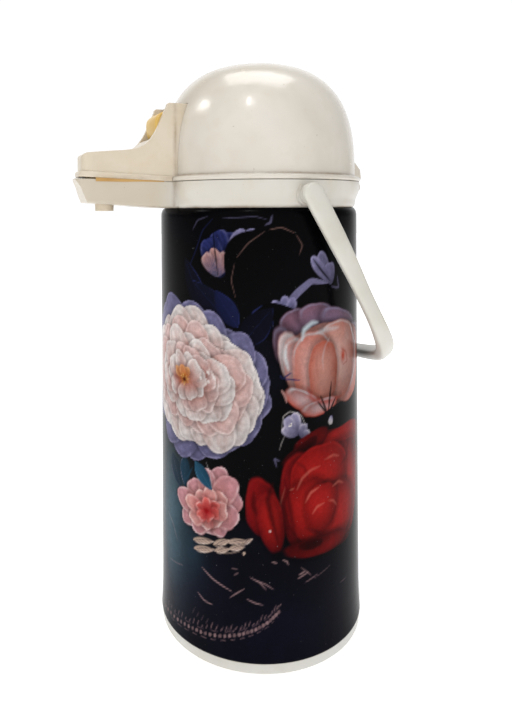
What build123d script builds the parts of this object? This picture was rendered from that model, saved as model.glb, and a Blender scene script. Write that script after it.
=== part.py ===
from build123d import *
import math
import os

os.makedirs("parts", exist_ok=True)

# ---------------------------------------------------------------------------
# Pump pot (air pot): vacuum flask in a lacquered steel casing, moulded head
# with a hinged dome lid, push pump, spout, latch and swinging bail.
# Frame: origin at the centre of the foot, +Z up, spout towards -Y, lid hinge
# towards +Y, bail pivots on +X and -X.  Millimetres.
# ---------------------------------------------------------------------------

# --- driving dimensions -----------------------------------------------------
R = 65.0                 # casing outer radius
BASE_H = 6.8             # visible height of the base ring
CASING_H = 260.0         # casing height
ZS = BASE_H + CASING_H   # seam between casing and collar
SHEET = 1.0              # casing sheet
WALL = 2.2               # moulded wall
GAP = 0.3                # clearance between bodies

COLLAR_H = 16.0          # collar height above the seam
DOME_R = 64.1            # dome radius above its bead
DOME_TOP = 93.9          # dome top above the seam
DOME_Z0 = 20.0           # where the dome starts to curve in
BEAD_R = 67.6            # rolled bead round the dome's foot
BUTTON_R = 21.6          # push button
BUTTON_TRAVEL = 20.0

SPOUT_TIP = 119.1        # reach of the spout cover from the axis
SPOUT_LIP = 122.1        # reach of the lower shell's lip
SPOUT_HALF_ROOT = 17.0
SPOUT_HALF_TIP = 11.6
BLOCK_TOP = 64.3         # top of the latch block above the seam
BLOCK_BACK = 46.3        # rear face of the latch block, from the axis
BLOCK_FRONT = 63.5       # the block's sides are parallel up to here, then taper with the spout

NOZZLE_S = 104.0         # outlet nozzle, from the axis
PIPE_Z = ZS + 10.5       # outlet pipe centre
TUBE_S = 19.5            # dip tube, from the axis

HINGE_Y = 69.0           # lid hinge axis
HINGE_Z = ZS + 14.0
LATCH_S = 66.0           # latch pin, from the axis
LATCH_Z = ZS + 51.0

PIVOT_Z = ZS + 7.7       # bail pivot height
BAIL_TILT = 30.5         # the bail hangs this far behind the vertical
STUD_FACE = 67.4         # face of the collar's stud bosses
ARM_IN = 69.5            # inner face of the bail's arms
ARM_OUT = 75.0


# --- shared outlines ---------------------------------------------------------
def dome_curve(radius, z0, top, n=15):
    """Points (r, z) of the dome's super-elliptic outline, foot to pole."""
    out = []
    for i in range(n + 1):
        a = math.pi / 2 * i / n
        t = math.sin(a) ** 0.85
        r = radius * max(0.0, 1.0 - t ** 2.75) ** (1 / 2.72)
        out.append((r, ZS + z0 + (top - z0) * t))
    out[-1] = (0.0, ZS + top)
    return out


def half_width(s):
    return SPOUT_HALF_ROOT + (SPOUT_HALF_TIP - SPOUT_HALF_ROOT) * (s - 45.0) / 74.6


def plan_points(s0, s1, grow):
    """Spout plan outline in XY, from s0 to s1 out along -Y, grown sideways."""
    a, b = half_width(s0) + grow, half_width(s1) + grow
    return [(-a, -s0), (-b, -s1), (b, -s1), (a, -s0)]


def block_points(s0, s1, grow):
    """The same outline with parallel sides as far as BLOCK_FRONT, where the lid's notch passes over it."""
    a, b = half_width(BLOCK_FRONT) + grow, half_width(s1) + grow
    return [(-a, -s0), (-a, -BLOCK_FRONT), (-b, -s1), (b, -s1), (a, -BLOCK_FRONT), (a, -s0)]


def notch_points(s0, s1, grow):
    """Straight notch in the lid round the latch block."""
    a = half_width(BLOCK_FRONT) + grow
    return [(-a, -s0), (-a, -s1), (a, -s1), (a, -s0)]


def side_points(pts):
    """(distance out along -Y, height above the seam) to Plane.YZ points."""
    return [(-s, ZS + z) for s, z in pts]


# =============================================================================
# BASE AND CASING
# =============================================================================
with BuildPart() as base_ring:
    with BuildSketch(Plane.XZ):
        with BuildLine():
            Polyline((28.0, 3.2), (50.5, 3.2), (52.5, 0.0), (63.5, 0.0))
            ThreePointArc((63.5, 0.0), (64.75, 0.5), (65.25, 1.8))
            Polyline((65.25, 1.8), (65.6, BASE_H), (63.9, BASE_H), (63.9, 16.0),
                     (61.6, 16.0), (61.6, 6.0), (28.0, 6.0), (28.0, 3.2))
        make_face()
    revolve(axis=Axis.Z)
    # radial stiffening ribs under the floor
    with BuildSketch(Plane.XY.offset(1.6)):
        with PolarLocations(41.4, 8):
            Rectangle(20.0, 1.8)
    extrude(amount=1.7)
base_ring.part.label = "base_ring"

with BuildPart() as base_plug:
    with BuildSketch(Plane.XZ):
        Polygon((0, 3.2), (20.0, 3.2), (20.0, 1.2), (31.0, 1.2), (31.0, 3.15),
                (27.9, 3.2), (27.9, 10.6), (24.5, 10.6), (24.5, 6.4), (0, 6.4), align=None)
    revolve(axis=Axis.Z)
    # grip bar across the plug's recess
    with BuildSketch(Plane.XY.offset(1.3)):
        Rectangle(39.0, 3.4)
    extrude(amount=2.0)
    # casing for the shape of thread: shallow grooves round the plug
    with BuildSketch(Plane.XZ):
        for k in range(3):
            with Locations((27.9, 7.2 + 1.2 * k)):
                Rectangle(0.7, 0.5)
    revolve(axis=Axis.Z, mode=Mode.SUBTRACT)
base_plug.part.label = "base_plug"

with BuildPart() as liner_cushion:
    with BuildSketch(Plane.XZ):
        with BuildLine():
            Polyline((7.0, 6.4), (24.4, 6.4), (24.4, 20.4))
            ThreePointArc((24.4, 20.4), (16.0, 19.0), (7.0, 18.4))
            Line((7.0, 18.4), (7.0, 6.4))
        make_face()
    revolve(axis=Axis.Z)
liner_cushion.part.label = "liner_cushion"

with BuildPart() as casing:
    with BuildSketch(Plane.XZ):
        with BuildLine():
            Spline((R + 0.8, BASE_H), (R + 0.25, 17.0), (R, 32.0), tangents=((-0.1, 1), (0, 1)))
            Line((R, 32.0), (R, ZS - 5.5))
            Spline((R, ZS - 5.5), (R - 0.9, ZS - 1.7), (R - 3.0, ZS - 0.05), tangents=((0, 1), (-1, 0)))
            Line((R - 3.0, ZS - 0.05), (R - 3.8, ZS - 0.05))
            Line((R - 3.8, ZS - 0.05), (R - 3.8, ZS - 1.05))
            Spline((R - 3.8, ZS - 1.05), (R - 1.75, ZS - 2.4), (R - SHEET, ZS - 5.8), tangents=((1, 0), (0, -1)))
            Line((R - SHEET, ZS - 5.8), (R - SHEET, 32.0))
            Spline((R - SHEET, 32.0), (R - SHEET + 0.25, 17.0), (R - SHEET + 0.8, BASE_H), tangents=((0, -1), (0.1, -1)))
            Line((R - SHEET + 0.8, BASE_H), (R + 0.8, BASE_H))
        make_face()
    revolve(axis=Axis.Z)
casing.part.label = "casing"

# =============================================================================
# GLASS LINER
# =============================================================================
NECK_TOP = ZS - 5.0
with BuildPart() as liner_outer_wall:
    with BuildSketch(Plane.XZ):
        with BuildLine():
            Spline((0, 20.0 - 1.2), (30.0, 22.6), (53.0, 36.0), (59.5, 56.0), tangents=((1, 0), (0, 1)))
            Line((59.5, 56.0), (59.5, 212.0))
            Spline((59.5, 212.0), (50.0, 236.0), (33.6, 247.0), (31.0, 252.0), tangents=((0, 1), (0, 1)))
            Line((31.0, 252.0), (31.0, NECK_TOP - 1.6))
            Line((31.0, NECK_TOP - 1.6), (29.5, NECK_TOP - 1.6))
            Line((29.5, NECK_TOP - 1.6), (29.5, 251.6))
            Spline((29.5, 251.6), (32.4, 246.0), (48.8, 235.0), (58.0, 212.0), tangents=((0, -1), (0, -1)))
            Line((58.0, 212.0), (58.0, 56.0))
            Spline((58.0, 56.0), (51.8, 37.0), (29.5, 24.1), (0, 20.3), tangents=((0, -1), (-1, 0)))
            Line((0, 20.3), (0, 18.8))
        make_face()
    revolve(axis=Axis.Z)
liner_outer_wall.part.label = "liner_outer_wall"

with BuildPart() as liner_inner_wall:
    with BuildSketch(Plane.XZ):
        with BuildLine():
            Spline((0, 24.0), (29.0, 27.6), (49.5, 40.0), (55.6, 57.0), tangents=((1, 0), (0, 1)))
            Line((55.6, 57.0), (55.6, 210.0))
            Spline((55.6, 210.0), (46.6, 232.0), (30.2, 243.0), (27.2, 249.0), tangents=((0, 1), (0, 1)))
            Line((27.2, 249.0), (27.2, NECK_TOP - 1.6))
            Line((27.2, NECK_TOP - 1.6), (31.0, NECK_TOP - 1.6))
            Line((31.0, NECK_TOP - 1.6), (31.0, NECK_TOP))
            Line((31.0, NECK_TOP), (25.7, NECK_TOP))
            Line((25.7, NECK_TOP), (25.7, 248.6))
            Spline((25.7, 248.6), (28.9, 241.9), (45.4, 231.0), (54.1, 210.0), tangents=((0, -1), (0, -1)))
            Line((54.1, 210.0), (54.1, 57.0))
            Spline((54.1, 57.0), (48.3, 41.0), (28.5, 29.1), (0, 25.5), tangents=((0, -1), (-1, 0)))
            Line((0, 25.5), (0, 24.0))
        make_face()
    revolve(axis=Axis.Z)
liner_inner_wall.part.label = "liner_inner_wall"

with BuildPart() as neck_gasket:
    with BuildSketch(Plane.XZ):
        Polygon((25.9, NECK_TOP), (31.05, NECK_TOP), (31.05, 252.6), (34.0, 252.6), (34.0, ZS - 2.5),
                (29.0, ZS - 2.5), (29.0, ZS + 0.5), (25.9, ZS + 0.5), align=None)
    revolve(axis=Axis.Z)
neck_gasket.part.label = "neck_gasket"

# =============================================================================
# COLLAR WITH THE LOWER SPOUT SHELL
# =============================================================================
LOW_SIDE = side_points([(56, 0.0), (71, 0.0), (116.3, 3.4), (117.7, 7.0), (119.7, 12.6),
                        (SPOUT_LIP, 16.9), (SPOUT_LIP, 17.9), (119.7, 17.6), (64, 16.0), (56, 16.0)])
LOW_VOID = side_points([(60, 2.2), (71, 2.2), (115.0, 5.6), (116.3, 9.0), (117.7, 12.8),
                        (119.1, 16.2), (119.5, 30.0), (60, 30.0)])

with BuildPart() as low_outer:
    with BuildSketch(Plane.YZ):
        Polygon(*LOW_SIDE, align=None)
    extrude(amount=25, both=True)
    with BuildSketch(Plane.XY.offset(ZS - 2)) as low_plan:
        Polygon(*plan_points(56, SPOUT_LIP + 0.2, 0.0), align=None)
        fillet(low_plan.vertices().group_by(Axis.Y)[0], 9.0)
    extrude(amount=24, mode=Mode.INTERSECT)
    low_edges = low_outer.edges().filter_by(lambda e: e.center().Z < ZS + 3.2 and e.center().Y < -60
                                            and abs(e.center().X) > 1)
    fillet(low_edges, 1.8)

with BuildPart() as low_void:
    with BuildSketch(Plane.YZ):
        Polygon(*LOW_VOID, align=None)
    extrude(amount=25, both=True)
    with BuildSketch(Plane.XY.offset(ZS - 2)) as low_plan2:
        Polygon(*plan_points(60, SPOUT_LIP - 1.8, -2.0), align=None)
        fillet(low_plan2.vertices().group_by(Axis.Y)[0], 7.2)
    extrude(amount=40, mode=Mode.INTERSECT)

with BuildPart() as spout_trough:
    add(low_outer.part)
    add(low_void.part, mode=Mode.SUBTRACT)
    with BuildSketch(Plane.XY.offset(ZS - 5)):
        Circle(62.85)
    extrude(amount=30, mode=Mode.SUBTRACT)

with BuildPart() as collar:
    with BuildSketch(Plane.XZ):
        with BuildLine():
            Polyline((29.0, ZS - 2.5), (58.8, ZS - 2.5), (58.8, ZS - 10.0), (61.0, ZS - 10.0),
                     (61.0, ZS), (R * 0.966, ZS))
            Spline((R * 0.966, ZS), (R * 0.983, ZS + 1.7), (R * 0.992, ZS + 5.0), (R * 1.011, ZS + 8.3),
                   (R * 1.025, ZS + 11.8), (R * 1.034, ZS + COLLAR_H))
            Polyline((R * 1.034, ZS + COLLAR_H), (R * 1.034 - 2.1, ZS + COLLAR_H), (64.2, ZS + 11.5),
                     (62.9, ZS + 7.5), (61.8, ZS + 3.2), (60.2, ZS + 0.5), (29.0, ZS + 0.5), (29.0, ZS - 2.5))
        make_face()
    revolve(axis=Axis.Z)
    add(spout_trough.part)
    # stiffening ribs on the deck
    with BuildSketch(Plane.XY.offset(ZS + 0.4)):
        with PolarLocations(47.5, 6, start_angle=0):
            Rectangle(25.5, 1.8)
    extrude(amount=4.0)
    # flat bosses that carry the bail's studs
    for sx in (1, -1):
        with BuildSketch(Plane.YZ.offset(sx * 61.6)):
            with Locations((0, PIVOT_Z)):
                Circle(7.2)
        extrude(amount=sx * (STUD_FACE - 61.6))
    with BuildSketch(Plane.YZ.offset(-80)):
        with Locations((0, PIVOT_Z)):
            Circle(2.5)
    extrude(amount=160, mode=Mode.SUBTRACT)
    # outlet pipe passage through the collar wall
    with BuildSketch(Plane.XZ.offset(56)):
        with Locations((0, PIPE_Z)):
            Circle(5.0)
    extrude(amount=14, mode=Mode.SUBTRACT)
    # raised screw seats, then the nozzle hole and the screw holes
    with BuildSketch(Plane.XY.offset(ZS + 2.6)):
        with Locations((8.2, -86), (-8.2, -86)):
            Circle(3.8)
    extrude(amount=2.6)
    with BuildSketch(Plane.XY.offset(ZS - 4)):
        with Locations((0, -NOZZLE_S)):
            Circle(5.9)
        with Locations((8.2, -86), (-8.2, -86)):
            Circle(1.5)
        with Locations((10.0, -53), (-10.0, -53)):
            Circle(1.5)
    extrude(amount=12, mode=Mode.SUBTRACT)
    with BuildSketch(Plane.XY.offset(ZS - 4)):
        with Locations((8.2, -86), (-8.2, -86)):
            Circle(3.0)
    extrude(amount=7.4, mode=Mode.SUBTRACT)
    # opening for the lid's hinge knuckle
    with BuildSketch(Plane.XY.offset(HINGE_Z - 4.2)):
        with Locations((0, 68)):
            Rectangle(22.8, 12)
    extrude(amount=12, mode=Mode.SUBTRACT)
    # hinge lugs
    for sx in (1, -1):
        with BuildSketch(Plane.YZ.offset(sx * 11.4)):
            with Locations((HINGE_Y, HINGE_Z)):
                Circle(3.5)
            Polygon((62.9, ZS + 4.6), (HINGE_Y + 1.4, ZS + 9.0), (HINGE_Y + 2.6, HINGE_Z - 1.6),
                    (HINGE_Y, HINGE_Z), (64.4, HINGE_Z), align=None)
        extrude(amount=sx * 2.9)
    with BuildSketch(Plane.YZ.offset(-30)):
        with Locations((HINGE_Y, HINGE_Z)):
            Circle(1.5)
    extrude(amount=60, mode=Mode.SUBTRACT)
collar.part.label = "collar"

with BuildPart() as hinge_pin:
    with BuildSketch(Plane.YZ.offset(-14.8)):
        with Locations((HINGE_Y, HINGE_Z)):
            Circle(1.5)
    extrude(amount=29.6)
hinge_pin.part.label = "hinge_pin"

with BuildPart() as handle_studs:
    for sx in (1, -1):
        with BuildSketch(Plane.YZ.offset(sx * STUD_FACE)):
            with Locations((0, PIVOT_Z)):
                Circle(6.0)
        extrude(amount=sx * (ARM_IN - GAP - STUD_FACE))
        with BuildSketch(Plane.YZ.offset(sx * 61.0)):
            with Locations((0, PIVOT_Z)):
                Circle(2.5)
        extrude(amount=sx * 6.0)
        with BuildSketch(Plane.YZ.offset(sx * 68.0)):
            with Locations((0, PIVOT_Z)):
                Circle(3.0)
        extrude(amount=sx * 5.3)
handle_studs.part.label = "handle_studs"

# =============================================================================
# NECK RING, DIP TUBE AND OUTLET
# =============================================================================
with BuildPart() as neck_ring:
    with BuildSketch(Plane.XY.offset(ZS + 0.5)):
        Circle(31.0)
    extrude(amount=15.5)
    with BuildSketch(Plane.XY.offset(ZS + 0.5)):
        Circle(25.9)
    extrude(amount=15.5, mode=Mode.SUBTRACT)
    with BuildSketch(Plane.XY.offset(ZS + 0.5)):
        with Locations((0, -21.0)):
            RectangleRounded(15.0, 17.0, 3.0)
    extrude(amount=15.5)
    with BuildSketch(Plane.XZ.offset(28)):
        with Locations((0, PIPE_Z)):
            Circle(5.4)
    extrude(amount=14)
    # riser bore, its wider seal seat, and the outlet bore
    with BuildSketch(Plane.XY.offset(ZS + 0.5)):
        with Locations((0, -TUBE_S)):
            Circle(5.4)
    extrude(amount=6.5, mode=Mode.SUBTRACT)
    with BuildSketch(Plane.XY.offset(ZS + 0.5)):
        with Locations((0, -TUBE_S)):
            Circle(3.9)
    extrude(amount=11.0, mode=Mode.SUBTRACT)
    with BuildSketch(Plane.XZ.offset(TUBE_S)):
        with Locations((0, PIPE_Z)):
            Circle(3.1)
    extrude(amount=30, mode=Mode.SUBTRACT)
    with BuildSketch(Plane.XZ.offset(36)):
        with Locations((0, PIPE_Z)):
            Circle(4.3)
    extrude(amount=10, mode=Mode.SUBTRACT)
neck_ring.part.label = "neck_ring"

with BuildPart() as tube_seal:
    with BuildSketch(Plane.XY.offset(ZS + 0.5)):
        with Locations((0, -TUBE_S)):
            Circle(5.4)
            Circle(3.9, mode=Mode.SUBTRACT)
    extrude(amount=6.5)
tube_seal.part.label = "tube_seal"

with BuildPart() as dip_tube:
    with BuildSketch(Plane.XY.offset(33.0)):
        with Locations((0, -TUBE_S)):
            Circle(3.9)
            Circle(2.9, mode=Mode.SUBTRACT)
    extrude(amount=ZS + 7.0 - 33.0)
    # relief notches at the foot
    with BuildSketch(Plane.XY.offset(32.0)):
        with Locations((0, -TUBE_S)):
            Rectangle(10, 2.2)
    extrude(amount=4.0, mode=Mode.SUBTRACT)
dip_tube.part.label = "dip_tube"

with BuildPart() as outlet_pipe:
    with BuildSketch(Plane.XZ.offset(36)):
        with Locations((0, PIPE_Z)):
            Circle(4.3)
    extrude(amount=NOZZLE_S - 36)
    with BuildSketch(Plane.XY.offset(ZS + 2.0)):
        with Locations((0, -NOZZLE_S)):
            Circle(4.3)
    extrude(amount=8.5)
    with Locations((0, -NOZZLE_S, PIPE_Z)):
        Sphere(4.3)
    with BuildSketch(Plane.XZ.offset(36)):
        with Locations((0, PIPE_Z)):
            Circle(3.1)
    extrude(amount=NOZZLE_S - 36, mode=Mode.SUBTRACT)
    with BuildSketch(Plane.XY.offset(ZS + 2.0)):
        with Locations((0, -NOZZLE_S)):
            Circle(3.1)
    extrude(amount=8.5, mode=Mode.SUBTRACT)
    with Locations((0, -NOZZLE_S, PIPE_Z)):
        Sphere(3.1, mode=Mode.SUBTRACT)
outlet_pipe.part.label = "outlet_pipe"

with BuildPart() as nozzle:
    with BuildSketch(Plane.XY.offset(ZS - 1.6)):
        with Locations((0, -NOZZLE_S)):
            Circle(5.5)
    with BuildSketch(Plane.XY.offset(ZS + 6.1)):
        with Locations((0, -NOZZLE_S)):
            Circle(5.85)
    loft()
    with BuildSketch(Plane.XY.offset(ZS + 2.0)):
        with Locations((0, -NOZZLE_S)):
            Circle(4.3)
    extrude(amount=6, mode=Mode.SUBTRACT)
    with BuildSketch(Plane.XY.offset(ZS - 3.0)):
        with Locations((0, -NOZZLE_S)):
            Circle(3.1)
    extrude(amount=8, mode=Mode.SUBTRACT)
nozzle.part.label = "nozzle"

# liner strip standing inside the trough, seen through the seam of the spout
with BuildPart() as spout_tray:
    with BuildSketch(Plane.YZ):
        Polygon(*side_points([(70, 7.0), (116.0, 9.6), (117.0, 13.0), (117.2, 21.0), (70, 18.2)]), align=None)
    extrude(amount=25, both=True)
    with BuildSketch(Plane.XY.offset(ZS + 2)) as tray_plan:
        Polygon(*plan_points(70, 115.2, -2.15), align=None)
        fillet(tray_plan.vertices().group_by(Axis.Y)[0], 7.0)
    extrude(amount=24, mode=Mode.INTERSECT)
    with BuildSketch(Plane.XY.offset(ZS + 2)) as tray_hole:
        Polygon(*plan_points(69, 114.2, -3.15), align=None)
        fillet(tray_hole.vertices().group_by(Axis.Y)[0], 6.0)
    extrude(amount=24, mode=Mode.SUBTRACT)
spout_tray.part.label = "spout_tray"

# =============================================================================
# SPOUT COVER WITH THE LATCH BLOCK
# =============================================================================
with BuildPart() as cover_outer:
    with BuildSketch(Plane.YZ):
        with BuildLine():
            Polyline(*side_points([(67.2, BLOCK_TOP), (BLOCK_BACK, BLOCK_TOP), (BLOCK_BACK, 16.0),
                                   (64.0, 16.2), (SPOUT_TIP, 18.6), (SPOUT_TIP, 29.4)]))
            Spline(*side_points([(SPOUT_TIP, 29.4), (118.1, 31.9), (115.5, 33.1)]),
                   tangents=((0, 1), (1, 0.06)))
            Spline(*side_points([(115.5, 33.1), (104.0, 34.1), (94.3, 34.9), (86.2, 36.5), (82.6, 38.4),
                                 (79.6, 41.2), (77.4, 43.9), (75.4, 47.1), (73.7, 50.6), (71.4, 56.0),
                                 (68.4, 62.6)]), tangents=((1, 0.06), (0.42, 1)))
            ThreePointArc(*side_points([(68.4, 62.6), (68.1, 63.7), (67.2, BLOCK_TOP)]))
        make_face()
    extrude(amount=25, both=True)
    with BuildSketch(Plane.XY.offset(ZS + 10)) as cover_plan:
        Polygon(*block_points(BLOCK_BACK, SPOUT_TIP, 0.0), align=None)
        fillet(cover_plan.vertices().group_by(Axis.Y)[0], 7.5)
    extrude(amount=60, mode=Mode.INTERSECT)

with BuildPart() as cover_void:
    with BuildSketch(Plane.YZ):
        Polygon(*side_points([(BLOCK_BACK + 2.0, 8.0), (BLOCK_BACK + 2.0, BLOCK_TOP - 2.2), (61.0, BLOCK_TOP - 2.2),
                              (61.0, 39.2), (75.0, 39.2), (82.0, 35.2), (86.5, 34.1), (94.3, 32.7), (104.0, 31.9),
                              (115.1, 30.9), (116.9, 29.0), (116.9, 8.0)]), align=None)
    extrude(amount=25, both=True)
    with BuildSketch(Plane.XY.offset(ZS + 5)) as cover_plan2:
        Polygon(*block_points(BLOCK_BACK + 2.0, SPOUT_TIP - 2.2, -2.1), align=None)
        fillet(cover_plan2.vertices().group_by(Axis.Y)[0], 5.6)
    extrude(amount=60, mode=Mode.INTERSECT)

with BuildPart() as cover_bead:
    with BuildSketch(Plane.YZ):
        Polygon(*side_points([(65.9, 16.3), (65.9, 19.4), (SPOUT_TIP + 2, 22.4), (SPOUT_TIP + 2, 18.7)]), align=None)
    extrude(amount=25, both=True)
    with BuildSketch(Plane.XY.offset(ZS + 10)) as bead_plan:
        Polygon(*plan_points(65.9, SPOUT_TIP + 1.5, 1.3), align=None)
        fillet(bead_plan.vertices().group_by(Axis.Y)[0], 8.6)
    extrude(amount=24, mode=Mode.INTERSECT)
    fillet(cover_bead.edges().filter_by(lambda e: e.center().Y < -66.5 and e.length > 6), 1.1)

with BuildPart() as spout_cover:
    add(cover_outer.part)
    add(cover_bead.part)
    add(cover_void.part, mode=Mode.SUBTRACT)
    # slot for the latch lever, open in front and above
    with BuildSketch(Plane.XY.offset(ZS + 41.6)):
        with Locations((0, -76.5)):
            Rectangle(23.6, 27.0)
    extrude(amount=40, mode=Mode.SUBTRACT)
    # window for the latch nose through the slot's back wall and the block's rear wall
    with BuildSketch(Plane.XY.offset(ZS + 44.0)):
        with Locations((0, -55)):
            Rectangle(12.4, 22)
    extrude(amount=13.0, mode=Mode.SUBTRACT)
    # screw bosses
    for px, ps, pz in ((8.2, 86, 5.2), (-8.2, 86, 5.2), (10.0, 53, 0.5), (-10.0, 53, 0.5)):
        with BuildSketch(Plane.XY.offset(ZS + pz)):
            with Locations((px, -ps)):
                Circle(2.6)
        extrude(amount=(ZS + 35.6 if ps == 86 else ZS + 30.0) - (ZS + pz))
    for px, ps, pz in ((8.2, 86, 5.2), (-8.2, 86, 5.2), (10.0, 53, 0.5), (-10.0, 53, 0.5)):
        with BuildSketch(Plane.XY.offset(ZS + pz)):
            with Locations((px, -ps)):
                Circle(1.2)
        extrude(amount=11, mode=Mode.SUBTRACT)
    # webs that tie the rear bosses to the block's side walls
    for sx in (1, -1):
        with BuildSketch(Plane.XY.offset(ZS + 17.0)):
            with Locations((sx * 13.2, -53)):
                Rectangle(4.6, 2.0)
        extrude(amount=12.0)
    # blind holes for the latch pin
    with BuildSketch(Plane.YZ.offset(-13.6)):
        with Locations((-LATCH_S, LATCH_Z)):
            Circle(1.5)
    extrude(amount=27.2, mode=Mode.SUBTRACT)
spout_cover.part.label = "spout_cover"

with BuildPart() as cover_screws:
    for px, ps, pz in ((8.2, 86, 3.4), (-8.2, 86, 3.4), (10.0, 53, -2.5), (-10.0, 53, -2.5)):
        with BuildSketch(Plane.XY.offset(ZS + pz)):
            with Locations((px, -ps)):
                Circle(1.2)
        extrude(amount=12.0)
        with BuildSketch(Plane.XY.offset(ZS + pz - 1.7)):
            with Locations((px, -ps)):
                Circle(2.8)
        extrude(amount=1.7)
cover_screws.part.label = "cover_screws"

# =============================================================================
# LATCH
# =============================================================================
with BuildPart() as latch_lever:
    with BuildSketch(Plane.YZ) as lever_side:
        with BuildLine():
            Polyline(*side_points([(64.0, 47.6), (64.0, 58.9)]))
            Spline(*side_points([(64.0, 58.9), (67.0, 59.9), (70.2, 59.0), (73.2, 57.4), (75.0, 55.7), (75.6, 53.4)]),
                   tangents=((-0.4, 1), (0, -1)))
            Polyline(*side_points([(75.6, 53.4), (75.3, 47.2), (74.7, 45.6), (73.4, 45.2), (72.3, 46.2),
                                   (71.4, 47.6), (64.0, 47.6)]))
        make_face()
    extrude(amount=11.2, both=True)
    # nose that reaches back to the lid's catch
    with BuildSketch(Plane.YZ):
        Polygon(*side_points([(47.1, 47.2), (47.1, 50.4), (52.0, 51.4), (64.5, 53.6), (64.5, 48.0), (52, 47.2)]), align=None)
    extrude(amount=5.4, both=True)
    # finger hollow in the pad
    with BuildSketch(Plane.YZ):
        with Locations((-80.4, ZS + 50.0)):
            Circle(5.6)
    extrude(amount=7.6, both=True, mode=Mode.SUBTRACT)
    # pin bore and spring pocket
    with BuildSketch(Plane.YZ.offset(-20)):
        with Locations((-LATCH_S, LATCH_Z)):
            Circle(1.55)
    extrude(amount=40, mode=Mode.SUBTRACT)
    with BuildSketch(Plane.YZ.offset(5.8)):
        with Locations((-LATCH_S, LATCH_Z)):
            Circle(3.0)
    extrude(amount=4.2, mode=Mode.SUBTRACT)
latch_lever.part.label = "latch_lever"

with BuildPart() as latch_pin:
    with BuildSketch(Plane.YZ.offset(-13.4)):
        with Locations((-LATCH_S, LATCH_Z)):
            Circle(1.5)
    extrude(amount=26.8)
latch_pin.part.label = "latch_pin"

with BuildPart() as latch_spring:
    with BuildSketch(Plane.YZ.offset(6.1)):
        with Locations((-LATCH_S, LATCH_Z)):
            Circle(2.6)
            Circle(1.6, mode=Mode.SUBTRACT)
    extrude(amount=3.6)
latch_spring.part.label = "latch_spring"

# =============================================================================
# DOME LID
# =============================================================================
OUT = dome_curve(DOME_R, DOME_Z0, DOME_TOP)
INN = dome_curve(DOME_R - WALL, DOME_Z0 - 1.0, DOME_TOP - WALL)

with BuildPart() as dome_outer:
    with BuildSketch(Plane.XZ):
        with BuildLine():
            Polyline((0, ZS + 16.3), (BEAD_R - 1.2, ZS + 16.3))
            ThreePointArc((BEAD_R - 1.2, ZS + 16.3), (BEAD_R, ZS + 17.85), (BEAD_R - 1.2, ZS + 19.4))
            Polyline((BEAD_R - 1.2, ZS + 19.4), (DOME_R + 0.5, ZS + 19.5), OUT[0])
            Spline(*OUT, tangents=((0, 1), (-1, 0)))
            Line((0, ZS + DOME_TOP), (0, ZS + 16.3))
        make_face()
    revolve(axis=Axis.Z)

with BuildPart() as dome_void:
    with BuildSketch(Plane.XZ):
        with BuildLine():
            Polyline((0, ZS + 14.0), (DOME_R - WALL, ZS + 14.0), INN[0])
            Spline(*INN, tangents=((0, 1), (-1, 0)))
            Line(INN[-1], (0, ZS + 14.0))
        make_face()
    revolve(axis=Axis.Z)
    # the walls of the front notch stay solid
    with BuildSketch(Plane.XY.offset(ZS + 10)):
        Polygon(*notch_points(BLOCK_BACK - 2.4, 90, 2.5), align=None)
    extrude(amount=BLOCK_TOP + 2.8 - 10.0, mode=Mode.SUBTRACT)

with BuildPart() as dome_lid:
    add(dome_outer.part)
    add(dome_void.part, mode=Mode.SUBTRACT)
    # front notch that clears the latch block
    with BuildSketch(Plane.XY.offset(ZS + 10)):
        Polygon(*notch_points(BLOCK_BACK - 0.4, 90, 0.45), align=None)
    extrude(amount=BLOCK_TOP + 0.4 - 10.0, mode=Mode.SUBTRACT)
    # guide for the push button
    with BuildSketch(Plane.XY.offset(ZS + 67.0)):
        Circle(24.3)
    extrude(amount=24.0)
    with BuildSketch(Plane.XY.offset(ZS + 60.0)):
        Circle(BUTTON_R + 0.4)
    extrude(amount=40.0, mode=Mode.SUBTRACT)
    # screw bosses
    with BuildSketch(Plane.XY.offset(ZS + 21.5)):
        for a in (35, 145, 215, 325):
            with Locations((57.2 * math.cos(math.radians(a)), 57.2 * math.sin(math.radians(a)))):
                Circle(4.9)
    extrude(amount=18.0)
    with BuildSketch(Plane.XY.offset(ZS + 21.5)):
        for a in (35, 145, 215, 325):
            with Locations((57.2 * math.cos(math.radians(a)), 57.2 * math.sin(math.radians(a)))):
                Circle(1.2)
    extrude(amount=9.0, mode=Mode.SUBTRACT)
    # rear hinge fairing
    with BuildSketch(Plane.YZ):
        Polygon((62.6, ZS + 19.0), (71.0, ZS + 19.0), (71.2, ZS + 21.0), (70.6, ZS + 25.8), (66.6, ZS + 30.4),
                (62.6, ZS + 34.0), align=None)
    extrude(amount=17.0, both=True)
    # room for the collar's lugs, then the knuckle
    with BuildSketch(Plane.YZ.offset(-15.4)):
        with Locations((HINGE_Y, HINGE_Z)):
            Circle(4.3)
    extrude(amount=30.8, mode=Mode.SUBTRACT)
    with BuildSketch(Plane.YZ.offset(-11.0)):
        with Locations((HINGE_Y, HINGE_Z)):
            Circle(3.4)
        Polygon((66.6, HINGE_Z), (HINGE_Y + 2.2, HINGE_Z), (71.0, ZS + 19.6), (66.2, ZS + 19.6), align=None)
    extrude(amount=22.0)
    with BuildSketch(Plane.YZ.offset(-30)):
        with Locations((HINGE_Y, HINGE_Z)):
            Circle(1.55)
    extrude(amount=60, mode=Mode.SUBTRACT)
dome_lid.part.label = "dome_lid"

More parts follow.
